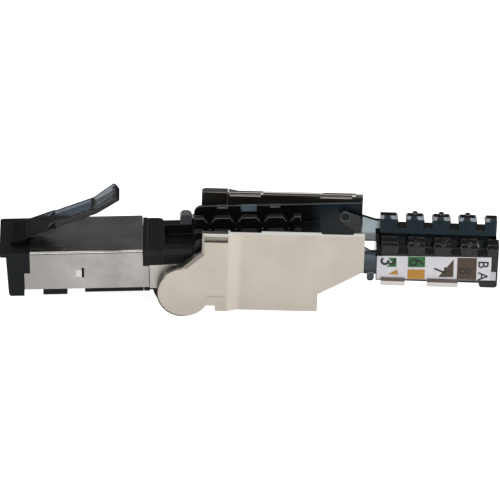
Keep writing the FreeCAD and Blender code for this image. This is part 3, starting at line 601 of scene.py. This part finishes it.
def rolled_steel(colour, radius, name, rough):
    """Bright rolled sheet steel with fine lines along the plug and a painted highlight along its edges."""
    tree, shader = new_material(name)
    lines = shared(tree, "rolled_lines", {"Scale": 6000.0})["Lines"]
    grain = shared(tree, "grain", {"Fine scale": 4000.0, "Cloud scale": 260.0})
    edges = shared(tree, "soft_edges", {"Radius": radius})
    base = clouded(tree, grain["Cloud"], colour, 0.8, 1.1)
    if name == "sleeve_steel":
        at = masks_of(tree, SLEEVE_PLACES)
        # Painted shade on the side's front part and a painted highlight on the lance
        layers = (at["side shade"], lighter(colour, 0.78)), (at["lance"], lighter(colour, 1.6))
        base = painted(tree, base, *layers)
    else:
        at = masks_of(tree, COVER_PLACES, "cap_hinge", CAP_DROOP)
        base = mixed_colour(tree, at["upper tab"], lighter(colour, 1.5), TAB_BROWN)
    looks = {
        # Painted highlight: the base colour is lighter along the edges
        "Base Color": mixed_colour(tree, edges["Edge"], base, lighter(colour, 1.6)),
        "Metallic": 1.0,
        "Roughness": spread(tree, lines, *rough),
        "Normal": bump_from(tree, lines, edges["Normal"], 0.000004, 0.3),
    }
    fill(tree, shader, looks)


def black_plastic(colour, radius, name):
    """Black moulding with a fine satin grain and a painted highlight along its edges."""
    rough, shine, edge_highlight_gain = BLACK_FINISHES[name]
    tree, shader = new_material(name)
    grain = shared(tree, "grain", {"Fine scale": 5200.0, "Cloud scale": 220.0})
    edges = shared(tree, "soft_edges", {"Radius": radius})
    base = clouded(tree, grain["Cloud"], colour, 0.85, 1.3)
    highlit_edge = edges["Edge"]
    if name == "black_plastic":
        # Painted shade on the tops and a painted bluish sheen on the sides
        at = masks_of(tree, BLACK_PLACES)
        base = painted(tree, base, (at["top"], lighter(colour, 0.8)), (at["side"], BLACK_SIDE_SHEEN))
    if name == "carrier_plastic":
        at = masks_of(tree, CARRIER_PLACES)
        notch = mixed_colour(tree, at["middle"], CARRIER_NOTCH, CARRIER_MIDDLE_NOTCH)
        base = painted(tree, base, (at["plates"], CARRIER_PLATES), (at["notch"], notch))
        # On the carrier the painted edge highlight is kept to the brows at its far top
        highlit_edge = all_of(tree, highlit_edge, largest(tree, at["inner brow"], at["outer brow"]), at["far top"])
    looks = {
        # Painted highlight: the base colour is lighter along the edges
        "Base Color": mixed_colour(tree, highlit_edge, base, lighter(colour, edge_highlight_gain)),
        "Roughness": spread(tree, grain["Fine"], *rough),
        "Specular IOR Level": shine,
        "Normal": bump_from(tree, grain["Fine"], edges["Normal"], 0.000004, 0.2),
    }
    fill(tree, shader, looks)


def cap_shades(tree):
    """The wire cap: a dense shell, and painted highlights on the finger heads' inner edges,
    with painted shade between them.
    """
    at = masks_of(tree, CAP_PLACES, "cap_hinge", CAP_DROOP)
    shell = largest(tree, at["shell"], at["low arm"])
    from_first = math_node(tree, "SUBTRACT", at["Along"], FIRST_FINGER)
    from_middle = math_node(tree, "PINGPONG", from_first, FINGER_PITCH / 2)
    tent = math_node(tree, "ADD", from_middle, math_node(tree, "MULTIPLY", at["Up"], HIGHLIGHT_SLANT))
    corner = step_mask(tree, tent, *HIGHLIGHT_CORNER)
    # Painted highlight on the heads' slopes, full on the far row and weaker on the near row
    head_highlight = all_of(tree, at["head"], at["head slope"], largest(tree, at["far row"], NEAR_HIGHLIGHT))
    # Painted highlight lines on the near heads, along their front top and their inner corners
    inner_highlight = all_of(tree, corner, at["inner highlight line"])
    near_highlight = all_of(tree, at["head"], at["near row"], largest(tree, at["front highlight line"], inner_highlight))
    base = painted(
        tree,
        mixed_colour(tree, shell, CLEAR, CAP_SHELL),
        (all_of(tree, shell, at["deck"]), CAP_DECK),
        (head_highlight, mixed_colour(tree, corner, CAP_SLOPE_SHADE, CAP_CORNER_HIGHLIGHT)),
        (near_highlight, CAP_LINE_HIGHLIGHT),
        (at["nub"], CAP_NUB),
    )
    return {"Base Color": base, "Metallic": largest(tree, head_highlight, near_highlight)}


def latch_shades(tree, rough):
    """The latch is as black as the nose where it grows out of it; its end face is solid, with painted shade.
    """
    at = masks_of(tree, LATCH_PLACES)
    lever = mixed_colour(tree, at["tip"], LATCH_LEVER, CLEAR)
    base = mixed_colour(tree, at["free"], LATCH_ROOT, lever)
    solid = largest(tree, at["root"], at["shaded end face"])
    return {
        # Painted shade on the tip's end face
        "Base Color": mixed_colour(tree, at["shaded end face"], base, LATCH_END_SHADE),
        "Metallic": solid,
        "Roughness": largest(tree, rough, solid),
    }


def smoky_plastic(colour, radius, density, name):
    """Dark see-through moulding: thin walls look blue-grey and thick ones almost black."""
    tree, shader = new_material(name)
    grain = shared(tree, "grain", {"Fine scale": 4200.0, "Cloud scale": 200.0})
    edges = shared(tree, "soft_edges", {"Radius": radius, "Gain": 2.5})
    rough = spread(tree, grain["Fine"], 0.05, 0.13)
    looks = {
        "Roughness": rough,
        "Normal": edges["Normal"],
        "Transmission Weight": 1.0,
        "Specular IOR Level": 0.2,
        "IOR": 1.5,
    }
    looks.update(latch_shades(tree, rough) if name == "latch_plastic" else cap_shades(tree))
    fill(tree, shader, looks)
    inside = new_node(tree, "ShaderNodeVolumeAbsorption", {"Color": colour, "Density": density})
    fill(tree, tree.nodes["Material Output"], {"Volume": inside.outputs["Volume"]})


def stamped_metal(colour, radius, name):
    """Plated stamped metal with faint draw lines."""
    tree, shader = new_material(name)
    lines = shared(tree, "rolled_lines", {"Scale": 9000.0})["Lines"]
    looks = {
        "Base Color": mixed_colour(tree, lines, lighter(colour, 0.9), lighter(colour, 1.08)),
        "Metallic": 1.0,
        "Roughness": spread(tree, lines, 0.16, 0.28),
        "Normal": shared(tree, "soft_edges", {"Radius": radius})["Normal"],
    }
    fill(tree, shader, looks)


def board_laminate():
    """Green circuit board with a woven shimmer under its lacquer."""
    tree, shader = new_material("board_laminate")
    place = tree.nodes.new("ShaderNodeTexCoord").outputs["Object"]
    first, second = BOARD_GREENS
    inputs = {"Vector": place, "Scale": 4500.0, "Color1": first, "Color2": second}
    weave = new_node(tree, "ShaderNodeTexChecker", inputs)
    grain = shared(tree, "grain", {"Fine scale": 3000.0, "Cloud scale": 200.0})
    looks = {"Base Color": weave.outputs["Color"], "Roughness": spread(tree, grain["Fine"], 0.28, 0.4)}
    fill(tree, shader, looks)


def printed_film(name, colour):
    """Printed film: an even colour with the faint unevenness of ink on plastic."""
    tree, shader = new_material(name)
    grain = shared(tree, "grain", {"Fine scale": 3500.0, "Cloud scale": 420.0})
    looks = {
        "Base Color": clouded(tree, grain["Cloud"], colour, 0.94, 1.05),
        "Roughness": spread(tree, grain["Fine"], 0.38, 0.5),
    }
    fill(tree, shader, looks)


NODE_FINISHES = {
    "plug_nose": "black_plastic",
    "rear_body": "black_plastic",
    "terminal_block": "carrier_plastic",
    "cap_catch": "catch_plastic",
    "front_shield": "sleeve_steel",
    "cap_shield": "cover_steel",
    "latch": "latch_plastic",
    "wire_cap": "smoky_plastic",
    "rear_housing": "cast_metal",
    "hinge_plate_far": "cheek_metal",
    "hinge_plate_near": "cheek_metal",
    "circuit_board": "board_laminate",
    "wiring_label": "label_film",
}


def build_materials(finishes, label):
    """Every material of the plug, and the groups that they share."""
    for make_group in (turned_frame_group, soft_edges_group, grain_group, rolled_lines_group):
        make_group()
    radius = finishes.edge_radius
    cast_metal(finishes.cast_colour, radius)
    cast_metal(finishes.cheek_colour, radius, "cheek_metal")
    rolled_steel(finishes.steel_colour, radius, "sleeve_steel", (0.13, 0.22))
    rolled_steel(finishes.steel_colour, radius, "cover_steel", (0.2, 0.32))
    black_plastic(finishes.black_colour, radius, "black_plastic")
    black_plastic(finishes.carrier_colour, radius * CARRIER_ROUNDING, "carrier_plastic")
    black_plastic(CATCH_GREY, radius, "catch_plastic")
    smoky_plastic(finishes.smoky_colour, radius, SMOKY_DENSITY, "smoky_plastic")
    smoky_plastic(finishes.latch_colour, radius, LATCH_DENSITY, "latch_plastic")
    stamped_metal(finishes.gold_colour, radius / 3, "contact_metal")
    stamped_metal(finishes.tin_colour, radius / 3, "blade_metal")
    board_laminate()
    printed_film("label_film", label.film_colour)
    # The label's step is a darker copy of the film: painted shade
    printed_film("step_film", lighter(label.film_colour, STEP_SHADE))
    for ink in ("green", "orange", "brown", "ink"):
        printed_film("print_" + ink, getattr(label, ink + "_colour"))


# Mesh helpers


def new_object(name, data):
    piece = bpy.data.objects.new(name, data)
    bpy.context.scene.collection.objects.link(piece)
    return piece


def give_material(piece, finish):
    """Gives a piece the one material of a finish."""
    piece.data.materials.clear()
    piece.data.materials.append(MADE[finish])


def finished_mesh(name, shape):
    """The mesh of a finished shape."""
    mesh = bpy.data.meshes.new(name)
    shape.to_mesh(mesh)
    shape.free()
    return mesh


def plate_mesh(name, outline, y0, y1):
    """A closed (x, z) outline as a plate between two places along Y, faces outwards."""
    shape = bmesh.new()
    face = shape.faces.new([shape.verts.new((x, y0, z)) for x, z in outline])
    grown = bmesh.ops.extrude_face_region(shape, geom=[face])
    moved = [item for item in grown["geom"] if isinstance(item, bmesh.types.BMVert)]
    bmesh.ops.translate(shape, verts=moved, vec=(0.0, y1 - y0, 0.0))
    bmesh.ops.recalc_face_normals(shape, faces=shape.faces)
    return finished_mesh(name, shape)


def ring_mesh(name, radius, thickness, steps=48, sides=8):
    """A round ring about the Y axis."""
    shape = bmesh.new()
    rows = []
    for step in range(steps):
        turn = Matrix.Rotation(2 * math.pi * step / steps, 4, "Y")
        angles = [2 * math.pi * side / sides for side in range(sides)]
        around = [Vector((math.cos(angle), math.sin(angle), 0.0)) * thickness / 2 for angle in angles]
        rows.append([shape.verts.new(turn @ (Vector((radius, 0.0, 0.0)) + at)) for at in around])
    for row, following in zip(rows, rows[1:] + rows[:1]):
        for side in range(sides):
            other = (side + 1) % sides
            shape.faces.new((row[side], row[other], following[other], following[side]))
    bmesh.ops.recalc_face_normals(shape, faces=shape.faces)
    return finished_mesh(name, shape)


def add_bevel(piece, width):
    """Rounds a piece's sharp edges."""
    bevel = piece.modifiers.new("bevel", "BEVEL")
    bevel.width = width
    bevel.segments = 2
    bevel.limit_method = "ANGLE"
    bevel.angle_limit = math.radians(30)


def plain_copy(piece, name):
    """The evaluated piece as a new plain object. The first object is removed."""
    shown = piece.evaluated_get(bpy.context.evaluated_depsgraph_get())
    mesh = bpy.data.meshes.new_from_object(shown)
    copy = new_object(name, mesh)
    bpy.data.objects.remove(piece)
    return copy


def reshaped(node, name, turned_place, change, cut_height=None):
    """A merged copy of a node's mesh, whose points are moved by a rule in a frame of its own."""
    shape = bmesh.new()
    shape.from_mesh(frame["nodes"][node].data)
    bmesh.ops.remove_doubles(shape, verts=shape.verts, dist=0.0001 * MM)
    bmesh.ops.transform(shape, matrix=turned_place.inverted(), verts=shape.verts)
    if cut_height is not None:
        everything = shape.verts[:] + shape.edges[:] + shape.faces[:]
        level = {"plane_co": (0.0, 0.0, cut_height), "plane_no": (0.0, 0.0, 1.0)}
        bmesh.ops.bisect_plane(shape, geom=everything, dist=0.001 * MM, **level)
    for vertex in shape.verts:
        vertex.co = change(vertex.co.copy())
    bmesh.ops.transform(shape, matrix=turned_place, verts=shape.verts)
    piece = new_object(name, finished_mesh(name, shape))
    give_material(piece, NODE_FINISHES[node])
    return piece


def joint_frame(joint, turn):
    """From a frame at a joint's axis, turned down by the given angle, to the part's frame."""
    return Matrix.Translation(Vector(JOINTS[joint]["pos_m"])) @ Matrix.Rotation(turn, 4, "Y")


def copies_tree():
    """Geometry Nodes: a grid of copies of the input shape, made real and given a material."""
    tree = bpy.data.node_groups.new("grid_of_copies", "GeometryNodeTree")
    sockets = {
        "Shape": "Geometry",
        "Columns": "Int",
        "Rows": "Int",
        "Column pitch": "Float",
        "Row pitch": "Float",
        "Finish": "Material",
    }
    for label, kind in sockets.items():
        tree.interface.new_socket(name=label, in_out="INPUT", socket_type="NodeSocket" + kind)
    tree.interface.new_socket(name="Shape", in_out="OUTPUT", socket_type="NodeSocketGeometry")
    given = tree.nodes.new("NodeGroupInput").outputs
    shape = given["Shape"]
    for count, pitch, axis in (("Columns", "Column pitch", "X"), ("Rows", "Row pitch", "Y")):
        # A line of points with its middle at the zero point
        gap = new_node(tree, "ShaderNodeCombineXYZ", {axis: given[pitch]}).outputs[0]
        inputs = {0: given[count], 1: -0.5, 2: 0.5}
        half = new_node(tree, "ShaderNodeMath", inputs, operation="MULTIPLY_ADD")
        inputs = {0: gap, "Scale": half.outputs[0]}
        first = new_node(tree, "ShaderNodeVectorMath", inputs, operation="SCALE").outputs[0]
        inputs = {"Count": given[count], "Start Location": first, "Offset": gap}
        points = new_node(tree, "GeometryNodeMeshLine", inputs).outputs["Mesh"]
        inputs = {"Points": points, "Instance": shape}
        shape = new_node(tree, "GeometryNodeInstanceOnPoints", inputs).outputs["Instances"]
    real = new_node(tree, "GeometryNodeRealizeInstances", {"Geometry": shape}).outputs["Geometry"]
    finish = new_node(tree, "GeometryNodeSetMaterial", {"Geometry": real, "Material": given["Finish"]})
    fill(tree, tree.nodes.new("NodeGroupOutput"), {"Shape": finish.outputs["Geometry"]})
    return tree


def repeated(piece, name, material, counts, pitches):
    """A plain mesh of the piece, copied on a grid about its own zero point."""
    tree = bpy.data.node_groups.get("grid_of_copies") or copies_tree()
    labels = ("Columns", "Rows", "Column pitch", "Row pitch", "Finish")
    values = dict(zip(labels, (*counts, *pitches, material)))
    step = piece.modifiers.new("copies", "NODES")
    step.node_group = tree
    for item in tree.interface.items_tree:
        if item.in_out == "INPUT" and item.name in values:
            step[item.identifier] = values[item.name]
    return plain_copy(piece, name)


def rounded_corner(corner, before, after, radius, steps=6):
    """Points of an arc that rounds one corner of an (x, z) outline."""
    here = Vector(corner)
    to_before = (Vector(before) - here).normalized()
    to_after = (Vector(after) - here).normalized()
    half = to_before.angle(to_after) / 2
    reach = radius / math.tan(half)
    middle = here + (to_before + to_after).normalized() * (radius / math.sin(half))
    first = here + to_before * reach - middle
    last = here + to_after * reach - middle
    points = []
    for step in range(steps + 1):
        mix = step / steps
        arm = (first * (1 - mix) + last * mix).normalized() * radius
        points.append(tuple(middle + arm))
    return points


# Pieces


# How many contacts the frame has, and how many blades in each of its two rows
FRAME_CONTACTS = 8
FRAME_BLADES = 4


class PLUG_OT_finishes(bpy.types.Operator):
    """Build the materials and give one to every solid of the plug"""

    bl_idname = "plug.finishes"
    bl_label = "Finishes"

    def execute(self, context):
        build_materials(context.scene.plug_finishes, context.scene.plug_label)
        for node, piece in frame["nodes"].items():
            give_material(piece, NODE_FINISHES.get(node, "contact_metal"))
        return {"FINISHED"}


class PLUG_OT_contacts(bpy.types.Operator):
    """Stamp one gold contact with a rounded front and set a row of them in the nose"""

    bl_idname = "plug.contacts"
    bl_label = "Contacts"

    def execute(self, context):
        sizes = context.scene.plug_contacts
        low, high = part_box("contact_1")
        names = ["contact_%d" % number for number in range(1, FRAME_CONTACTS + 1)]
        blade_x = low.x + 1.5 * MM
        arm_z = high.z - 0.75 * MM
        heel = rounded_corner((low.x, low.z), (low.x, high.z), (blade_x, low.z), sizes.contact_bend)
        toe = rounded_corner((blade_x, low.z), (low.x, low.z), (blade_x, high.z), sizes.contact_bend / 2)
        outline = [(low.x, high.z)] + heel + toe + [(blade_x, arm_z), (high.x, arm_z), (high.x, high.z)]
        half = (high.y - low.y) / 2
        stamped = new_object("contact", plate_mesh("contact", outline, -half, half))
        add_bevel(stamped, sizes.metal_bevel)
        # The frame's own plain gold
        gold = bpy.data.materials["contact_metal"]
        counts = (1, sizes.contact_count)
        row = repeated(stamped, "contact_row", gold, counts, (0.0, sizes.contact_pitch))
        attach(row, "plug")
        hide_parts(*names)
        return {"FINISHED"}


class PLUG_OT_blades(bpy.types.Operator):
    """Cut one slit blade and set two rows of them in the terminal block"""

    bl_idname = "plug.blades"
    bl_label = "Terminal blades"

    def execute(self, context):
        sizes = context.scene.plug_contacts
        count = sizes.blade_count
        names = ["terminal_blade_%d" % number for number in range(1, 2 * FRAME_BLADES + 1)]
        low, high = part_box(names[0])
        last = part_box(names[FRAME_BLADES - 1])[1]
        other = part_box(names[FRAME_BLADES])[1]
        pitch = (last.x - high.x) / (count - 1)
        half = (high.x - low.x) / 2
        slit = sizes.blade_slit / 2
        lead = 0.45 * MM
        slit_low = high.z - 1.7 * MM
        tail_half = 0.35 * MM
        tail_top = low.z + 1.3 * MM
        right = [
            (tail_half, low.z),
            (tail_half, tail_top),
            (half, tail_top),
            (half, high.z - lead),
            (half - lead / 2, high.z),
            (slit + lead, high.z),
            (slit, high.z - lead * 1.6),
            (slit, slit_low),
        ]
        left = [(-x, z) for x, z in reversed(right)]
        thick = (high.y - low.y) / 2
        blade = new_object("blade", plate_mesh("blade", right + left, -thick, thick))
        add_bevel(blade, sizes.metal_bevel)
        pitches = (pitch, other.y - high.y)
        rows = repeated(blade, "blade_rows", MADE["blade_metal"], (count, 2), pitches)
        rows.data.transform(Matrix.Translation(((low.x + last.x) / 2, 0.0, 0.0)))
        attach(rows, "plug")
        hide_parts(*names)
        return {"FINISHED"}


def label_place():
    """From the level label, with its upper left corner at zero, to where the open cap's label lies."""
    vertices = frame["nodes"]["wiring_label"].data.vertices
    corners = sorted((vertex.co for vertex in vertices), key=lambda at: at.x)
    half = len(corners) // 2
    left_low = min(corners[:half], key=lambda at: at.z)
    left_high = max(corners[:half], key=lambda at: at.z)
    right_low = min(corners[half:], key=lambda at: at.z)
    lean = math.atan2(left_low.z - right_low.z, right_low.x - left_low.x)
    start = Vector((left_high.x, min(corner.y for corner in corners), left_high.z))
    return Matrix.Translation(start) @ Matrix.Rotation(lean, 4, "Y")


# The label's print, in millimetres to the right of its upper left corner and down from it
PRINTED_FIELDS = [
    ("field_green_corner", "print_green", [(1.7, 0.3), (3.0, 0.3), (3.02, 1.88), (1.44, 1.88), (2.3, 1.1)]),
    ("field_orange_corner", "print_orange", [(3.09, 2.32), (3.35, 3.2), (1.7, 3.2)]),
    ("field_green", "print_green", [(4.74, 0.05), (7.39, 0.05), (7.39, 1.88), (4.74, 1.88)]),
    ("field_orange", "print_orange", [(4.74, 2.27), (7.39, 2.27), (7.39, 3.95), (4.74, 3.95)]),
    ("field_brown_corner", "print_brown", [(11.78, 0.39), (11.78, 3.52), (9.48, 3.52)]),
    ("field_brown", "print_brown", [(12.33, 0.12), (15.31, 0.12), (15.31, 3.95), (12.33, 3.95)]),
    ("film_step", "step_film", [(17.5, 2.5), (18.3, 2.5), (18.3, 4.0), (17.5, 4.0)]),
]
# Each character with its place, right and down, and its height
PRINTED_CHARACTERS = [
    ("3", 1.7, 0.98, 2.35),
    ("6", 6.05, 1.05, 2.3),
    ("7", 9.7, 2.4, 1.9),
    ("8", 13.6, 2.4, 1.9),
    ("B", 16.35, 1.3, 1.65),
    ("A", 16.35, 3.3, 1.6),
]


# The font's size and the added weight of its strokes, as shares of a character's height
FONT_SIZE = 1.38
STROKE_WEIGHT = 0.013


def character_mesh(text, height, thickness):
    """One character as a mesh about its own middle, in the XY plane."""
    curve = bpy.data.curves.new("character", "FONT")
    curve.body = text
    curve.size = height * FONT_SIZE
    curve.extrude = thickness / 2
    curve.offset = height * STROKE_WEIGHT
    curve.align_x = "CENTER"
    curve.align_y = "CENTER"
    holder = new_object("character", curve)
    bpy.context.view_layer.update()
    shown = holder.evaluated_get(bpy.context.evaluated_depsgraph_get())
    mesh = bpy.data.meshes.new_from_object(shown)
    bpy.data.objects.remove(holder)
    low = [min(vertex.co[axis] for vertex in mesh.vertices) for axis in range(2)]
    high = [max(vertex.co[axis] for vertex in mesh.vertices) for axis in range(2)]
    middle = Vector(((low[0] + high[0]) / 2, (low[1] + high[1]) / 2, 0.0))
    mesh.transform(Matrix.Translation(-middle))
    return mesh


# Places on the latch, from its root, and on the open wire cap, from its pivot
LATCH_RISE = math.radians(20.0)
LATCH_RIDGE = 0.8 * MM
LATCH_UNDERSIDE = -0.275 * MM
NEAR_ARM_TOP = -0.5 * MM
ARM_FOOT = -4.65 * MM
SHELL_START = 4.8 * MM
HEAD_START = 5.0 * MM
HEAD_HEIGHT = 0.78 * MM
HEAD_CUT = 0.55 * MM
HEAD_INNER_FACE = 3.0 * MM
NEARNESS = 0.05 * MM


class PLUG_OT_moulded(bpy.types.Operator):
    """Dress the latch with its longer, flatter tip and the wire cap with sloped finger heads"""

    bl_idname = "plug.moulded"
    bl_label = "Latch and wire cap"

    def execute(self, context):
        sizes = context.scene.plug_moulded

        def latch_rule(at):
            past_bend = at.x > sizes.latch_bend_at + NEARNESS
            if at.x > sizes.latch_bend_at - LATCH_RIDGE:
                at.x += sizes.latch_shift
            if past_bend:
                bend = Vector((sizes.latch_bend_at + sizes.latch_shift, 0.0, LATCH_UNDERSIDE))
                from_bend = Matrix.Rotation(sizes.latch_tip_drop, 3, "Y") @ (at - bend)
                at = bend + from_bend * sizes.latch_tip_scale
                at.y = at.y / sizes.latch_tip_scale
            return at

        def cap_rule(at):
            if at.y < 0.0 and abs(at.z - NEAR_ARM_TOP) < NEARNESS:
                at.z = -sizes.near_arm_top
            if at.y > 0.0 and abs(at.z - ARM_FOOT) < NEARNESS and at.x < SHELL_START:
                at.z += sizes.far_arm_rise
            on_head = at.x > HEAD_START and at.z > HEAD_HEIGHT
            if on_head and abs(at.y - HEAD_INNER_FACE) < NEARNESS:
                at.y += sizes.head_slope
            return at

        latch = reshaped("latch", "latch_lever", joint_frame("latch_flex", -LATCH_RISE), latch_rule)
        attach(latch, "latch")
        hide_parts("latch")
        cap_frame = joint_frame("cap_hinge", CAP_DROOP)
        cap = reshaped("wire_cap", "cap_moulding", cap_frame, cap_rule, HEAD_CUT)
        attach(cap, "wire_cap")
        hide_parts("wire_cap")
        ring = new_object("pivot_ring", ring_mesh("pivot_ring", sizes.ring_radius, sizes.ring_thickness))
        on_arm = Matrix.Translation(Vector((0.0, sizes.arm_inner_face, 0.0)))
        ring.data.transform(cap_frame @ on_arm)
        give_material(ring, "catch_plastic")
        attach(ring, "wire_cap")
        return {"FINISHED"}


class PLUG_OT_label_print(bpy.types.Operator):
    """Print the wire colours and numbers on the wiring label"""

    bl_idname = "plug.label_print"
    bl_label = "Label print"

    def execute(self, context):
        ink = context.scene.plug_label.ink_thickness
        place = label_place()
        for name, finish, corners in PRINTED_FIELDS:
            outline = [(right * MM, -down * MM) for right, down in corners]
            piece = new_object(name, plate_mesh(name, outline, -ink, 0.0))
            piece.data.transform(place)
            self.keep(piece, finish)
        for number, (text, right, down, height) in enumerate(PRINTED_CHARACTERS, 1):
            mesh = character_mesh(text, height * MM, ink)
            at = Matrix.Translation((right * MM, -ink * 1.5, -down * MM))
            upright = Matrix.Rotation(math.radians(90), 4, "X")
            sideways = Matrix.Rotation(math.radians(-90), 4, "Z")
            mesh.transform(place @ at @ upright @ sideways)
            self.keep(new_object("character_%d" % number, mesh), "print_ink")
        return {"FINISHED"}

    def keep(self, piece, finish):
        """Colours a printed piece and lets it ride on the wire cap."""
        give_material(piece, finish)
        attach(piece, "wire_cap")


# Studio


# Each lamp's place, width, height and share of the key lamp's power
LAMPS = {
    "key_lamp": ((-0.25, -0.45, 0.6), 0.5, 0.4, 1.0),
    "side_lamp": ((0.5, -0.2, 0.5), 0.3, 0.3, 0.35),
    "back_lamp": ((0.05, 0.35, 0.65), 0.6, 0.25, 0.6),
    "low_lamp": ((0.5, -0.55, 0.14), 0.3, 0.2, 0.4),
}
FLOOR_SIZE = 6.0
FLOOR_GREY = (0.6, 0.6, 0.6)
FLOOR_SHOWN = 0.93
FLOOR_MIRRORED = 0.38
ROOM_WHITE = (1.0, 1.0, 1.0)
ROOM_FLAG = (0.21, 0.21, 0.21)
SENSOR_WIDTH = 36.0


def floor_material():
    """A plain surface that the camera sees white, and that mirrors in the plug less bright."""
    tree, shader = new_material("studio_floor")
    path = tree.nodes.new("ShaderNodeLightPath").outputs
    seen = math_node(tree, "MULTIPLY", path["Is Camera Ray"], FLOOR_SHOWN)
    mirrored = largest(tree, path["Is Glossy Ray"], path["Is Transmission Ray"])
    mirrored = math_node(tree, "MULTIPLY", mirrored, FLOOR_MIRRORED)
    looks = {
        "Base Color": FLOOR_GREY,
        "Roughness": 0.9,
        "Specular IOR Level": 0.1,
        "Emission Color": (1.0, 1.0, 1.0),
        "Emission Strength": largest(tree, seen, mirrored),
    }
    fill(tree, shader, looks)


def aimed(from_point, to_point):
    """The turn that makes a lamp or camera at one point look at another."""
    return (Vector(to_point) - Vector(from_point)).to_track_quat("-Z", "Y")


def add_lamp(name, place, target, width, height, power):
    lamp = bpy.data.lights.new(name, "AREA")
    lamp.shape = "RECTANGLE"
    lamp.size = width
    lamp.size_y = height
    lamp.energy = power
    holder = new_object(name, lamp)
    holder.location = place
    holder.rotation_euler = aimed(place, target).to_euler()
    return holder


def build_world(strength):
    """A bright room with a darker band at its front, back and left, which level bright metal mirrors."""
    world = bpy.data.worlds.new("studio_room")
    bpy.context.scene.world = world
    world.use_nodes = True
    tree = world.node_tree
    direction = tree.nodes.new("ShaderNodeTexCoord").outputs["Generated"]
    parts = new_node(tree, "ShaderNodeSeparateXYZ", {0: direction}).outputs
    path = tree.nodes.new("ShaderNodeLightPath").outputs
    front_or_back = step_mask(tree, math_node(tree, "ABSOLUTE", parts["Y"]), 0.1, 0.6)
    left = step_mask(tree, parts["X"], -0.45, -0.75)
    above_floor = step_mask(tree, parts["Z"], 0.15, 0.3)
    below_top = step_mask(tree, parts["Z"], 0.85, 0.65)
    sides = largest(tree, front_or_back, left)
    flag = all_of(tree, sides, above_floor, below_top, path["Is Glossy Ray"])
    white = math_node(tree, "MULTIPLY", path["Is Camera Ray"], 1.0 - strength)
    looks = {
        "Color": mixed_colour(tree, flag, ROOM_WHITE, ROOM_FLAG),
        "Strength": math_node(tree, "ADD", white, strength),
    }
    fill(tree, tree.nodes["Background"], looks)


class PLUG_OT_studio(bpy.types.Operator):
    """Set the pale floor, soft lamps and the camera"""

    bl_idname = "plug.studio"
    bl_label = "Studio"

    def execute(self, context):
        settings = context.scene.plug_studio
        bpy.ops.mesh.primitive_plane_add(size=FLOOR_SIZE)
        floor = context.active_object
        floor.name = "floor"
        floor_material()
        give_material(floor, "studio_floor")
        target = Vector(settings.aim)
        for name, (place, width, height, share) in LAMPS.items():
            lamp = add_lamp(name, place, target, width, height, settings.key_power * share)
            # The sleeve's top would mirror the low lamp to a camera behind the plug
            lamp.visible_glossy = name != "low_lamp"
        build_world(settings.room_light)
        camera = bpy.data.cameras.new("camera")
        camera.lens = settings.lens
        camera.sensor_width = SENSOR_WIDTH
        camera.clip_start = 0.01
        distance = settings.frame_width * settings.lens / SENSOR_WIDTH
        away = Vector((0.0, -math.cos(settings.elevation), math.sin(settings.elevation)))
        holder = new_object("camera", camera)
        holder.location = target + away * distance
        turn = aimed(holder.location, target).to_matrix().to_4x4() @ Matrix.Rotation(settings.roll, 4, "Z")
        holder.rotation_euler = turn.to_euler()
        context.scene.camera = holder
        context.scene.view_settings.view_transform = "Standard"
        return {"FINISHED"}


class PLUG_PT_panel(bpy.types.Panel):
    """The plug's steps, in their order"""

    bl_label = "Ethernet plug"
    bl_idname = "PLUG_PT_panel"
    bl_space_type = "VIEW_3D"
    bl_region_type = "UI"
    bl_category = "Ethernet plug"

    def draw(self, context):
        for step in STEPS:
            self.layout.operator(step.bl_idname)
        for name in SETTINGS:
            settings = getattr(context.scene, name)
            for item in settings.bl_rna.properties:
                if item.identifier not in ("rna_type", "name"):
                    self.layout.prop(settings, item.identifier)


SETTINGS = {
    "plug_finishes": PlugFinishes,
    "plug_label": LabelPrint,
    "plug_contacts": ContactSizes,
    "plug_moulded": MouldedSizes,
    "plug_studio": StudioSettings,
}
STEPS = [
    PLUG_OT_finishes,
    PLUG_OT_contacts,
    PLUG_OT_blades,
    PLUG_OT_moulded,
    PLUG_OT_label_print,
    PLUG_OT_studio,
]


def register():
    for kind in list(SETTINGS.values()) + STEPS + [PLUG_PT_panel]:
        bpy.utils.register_class(kind)
    for name, kind in SETTINGS.items():
        setattr(bpy.types.Scene, name, PointerProperty(type=kind))


def unregister():
    for name in SETTINGS:
        delattr(bpy.types.Scene, name)
    for kind in reversed(list(SETTINGS.values()) + STEPS + [PLUG_PT_panel]):
        bpy.utils.unregister_class(kind)


def main():
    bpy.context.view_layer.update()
    register()
    bpy.ops.plug.finishes()
    bpy.ops.plug.contacts()
    bpy.ops.plug.blades()
    bpy.ops.plug.moulded()
    bpy.ops.plug.label_print()
    bpy.ops.plug.studio()


if __name__ == "__main__":
    main()
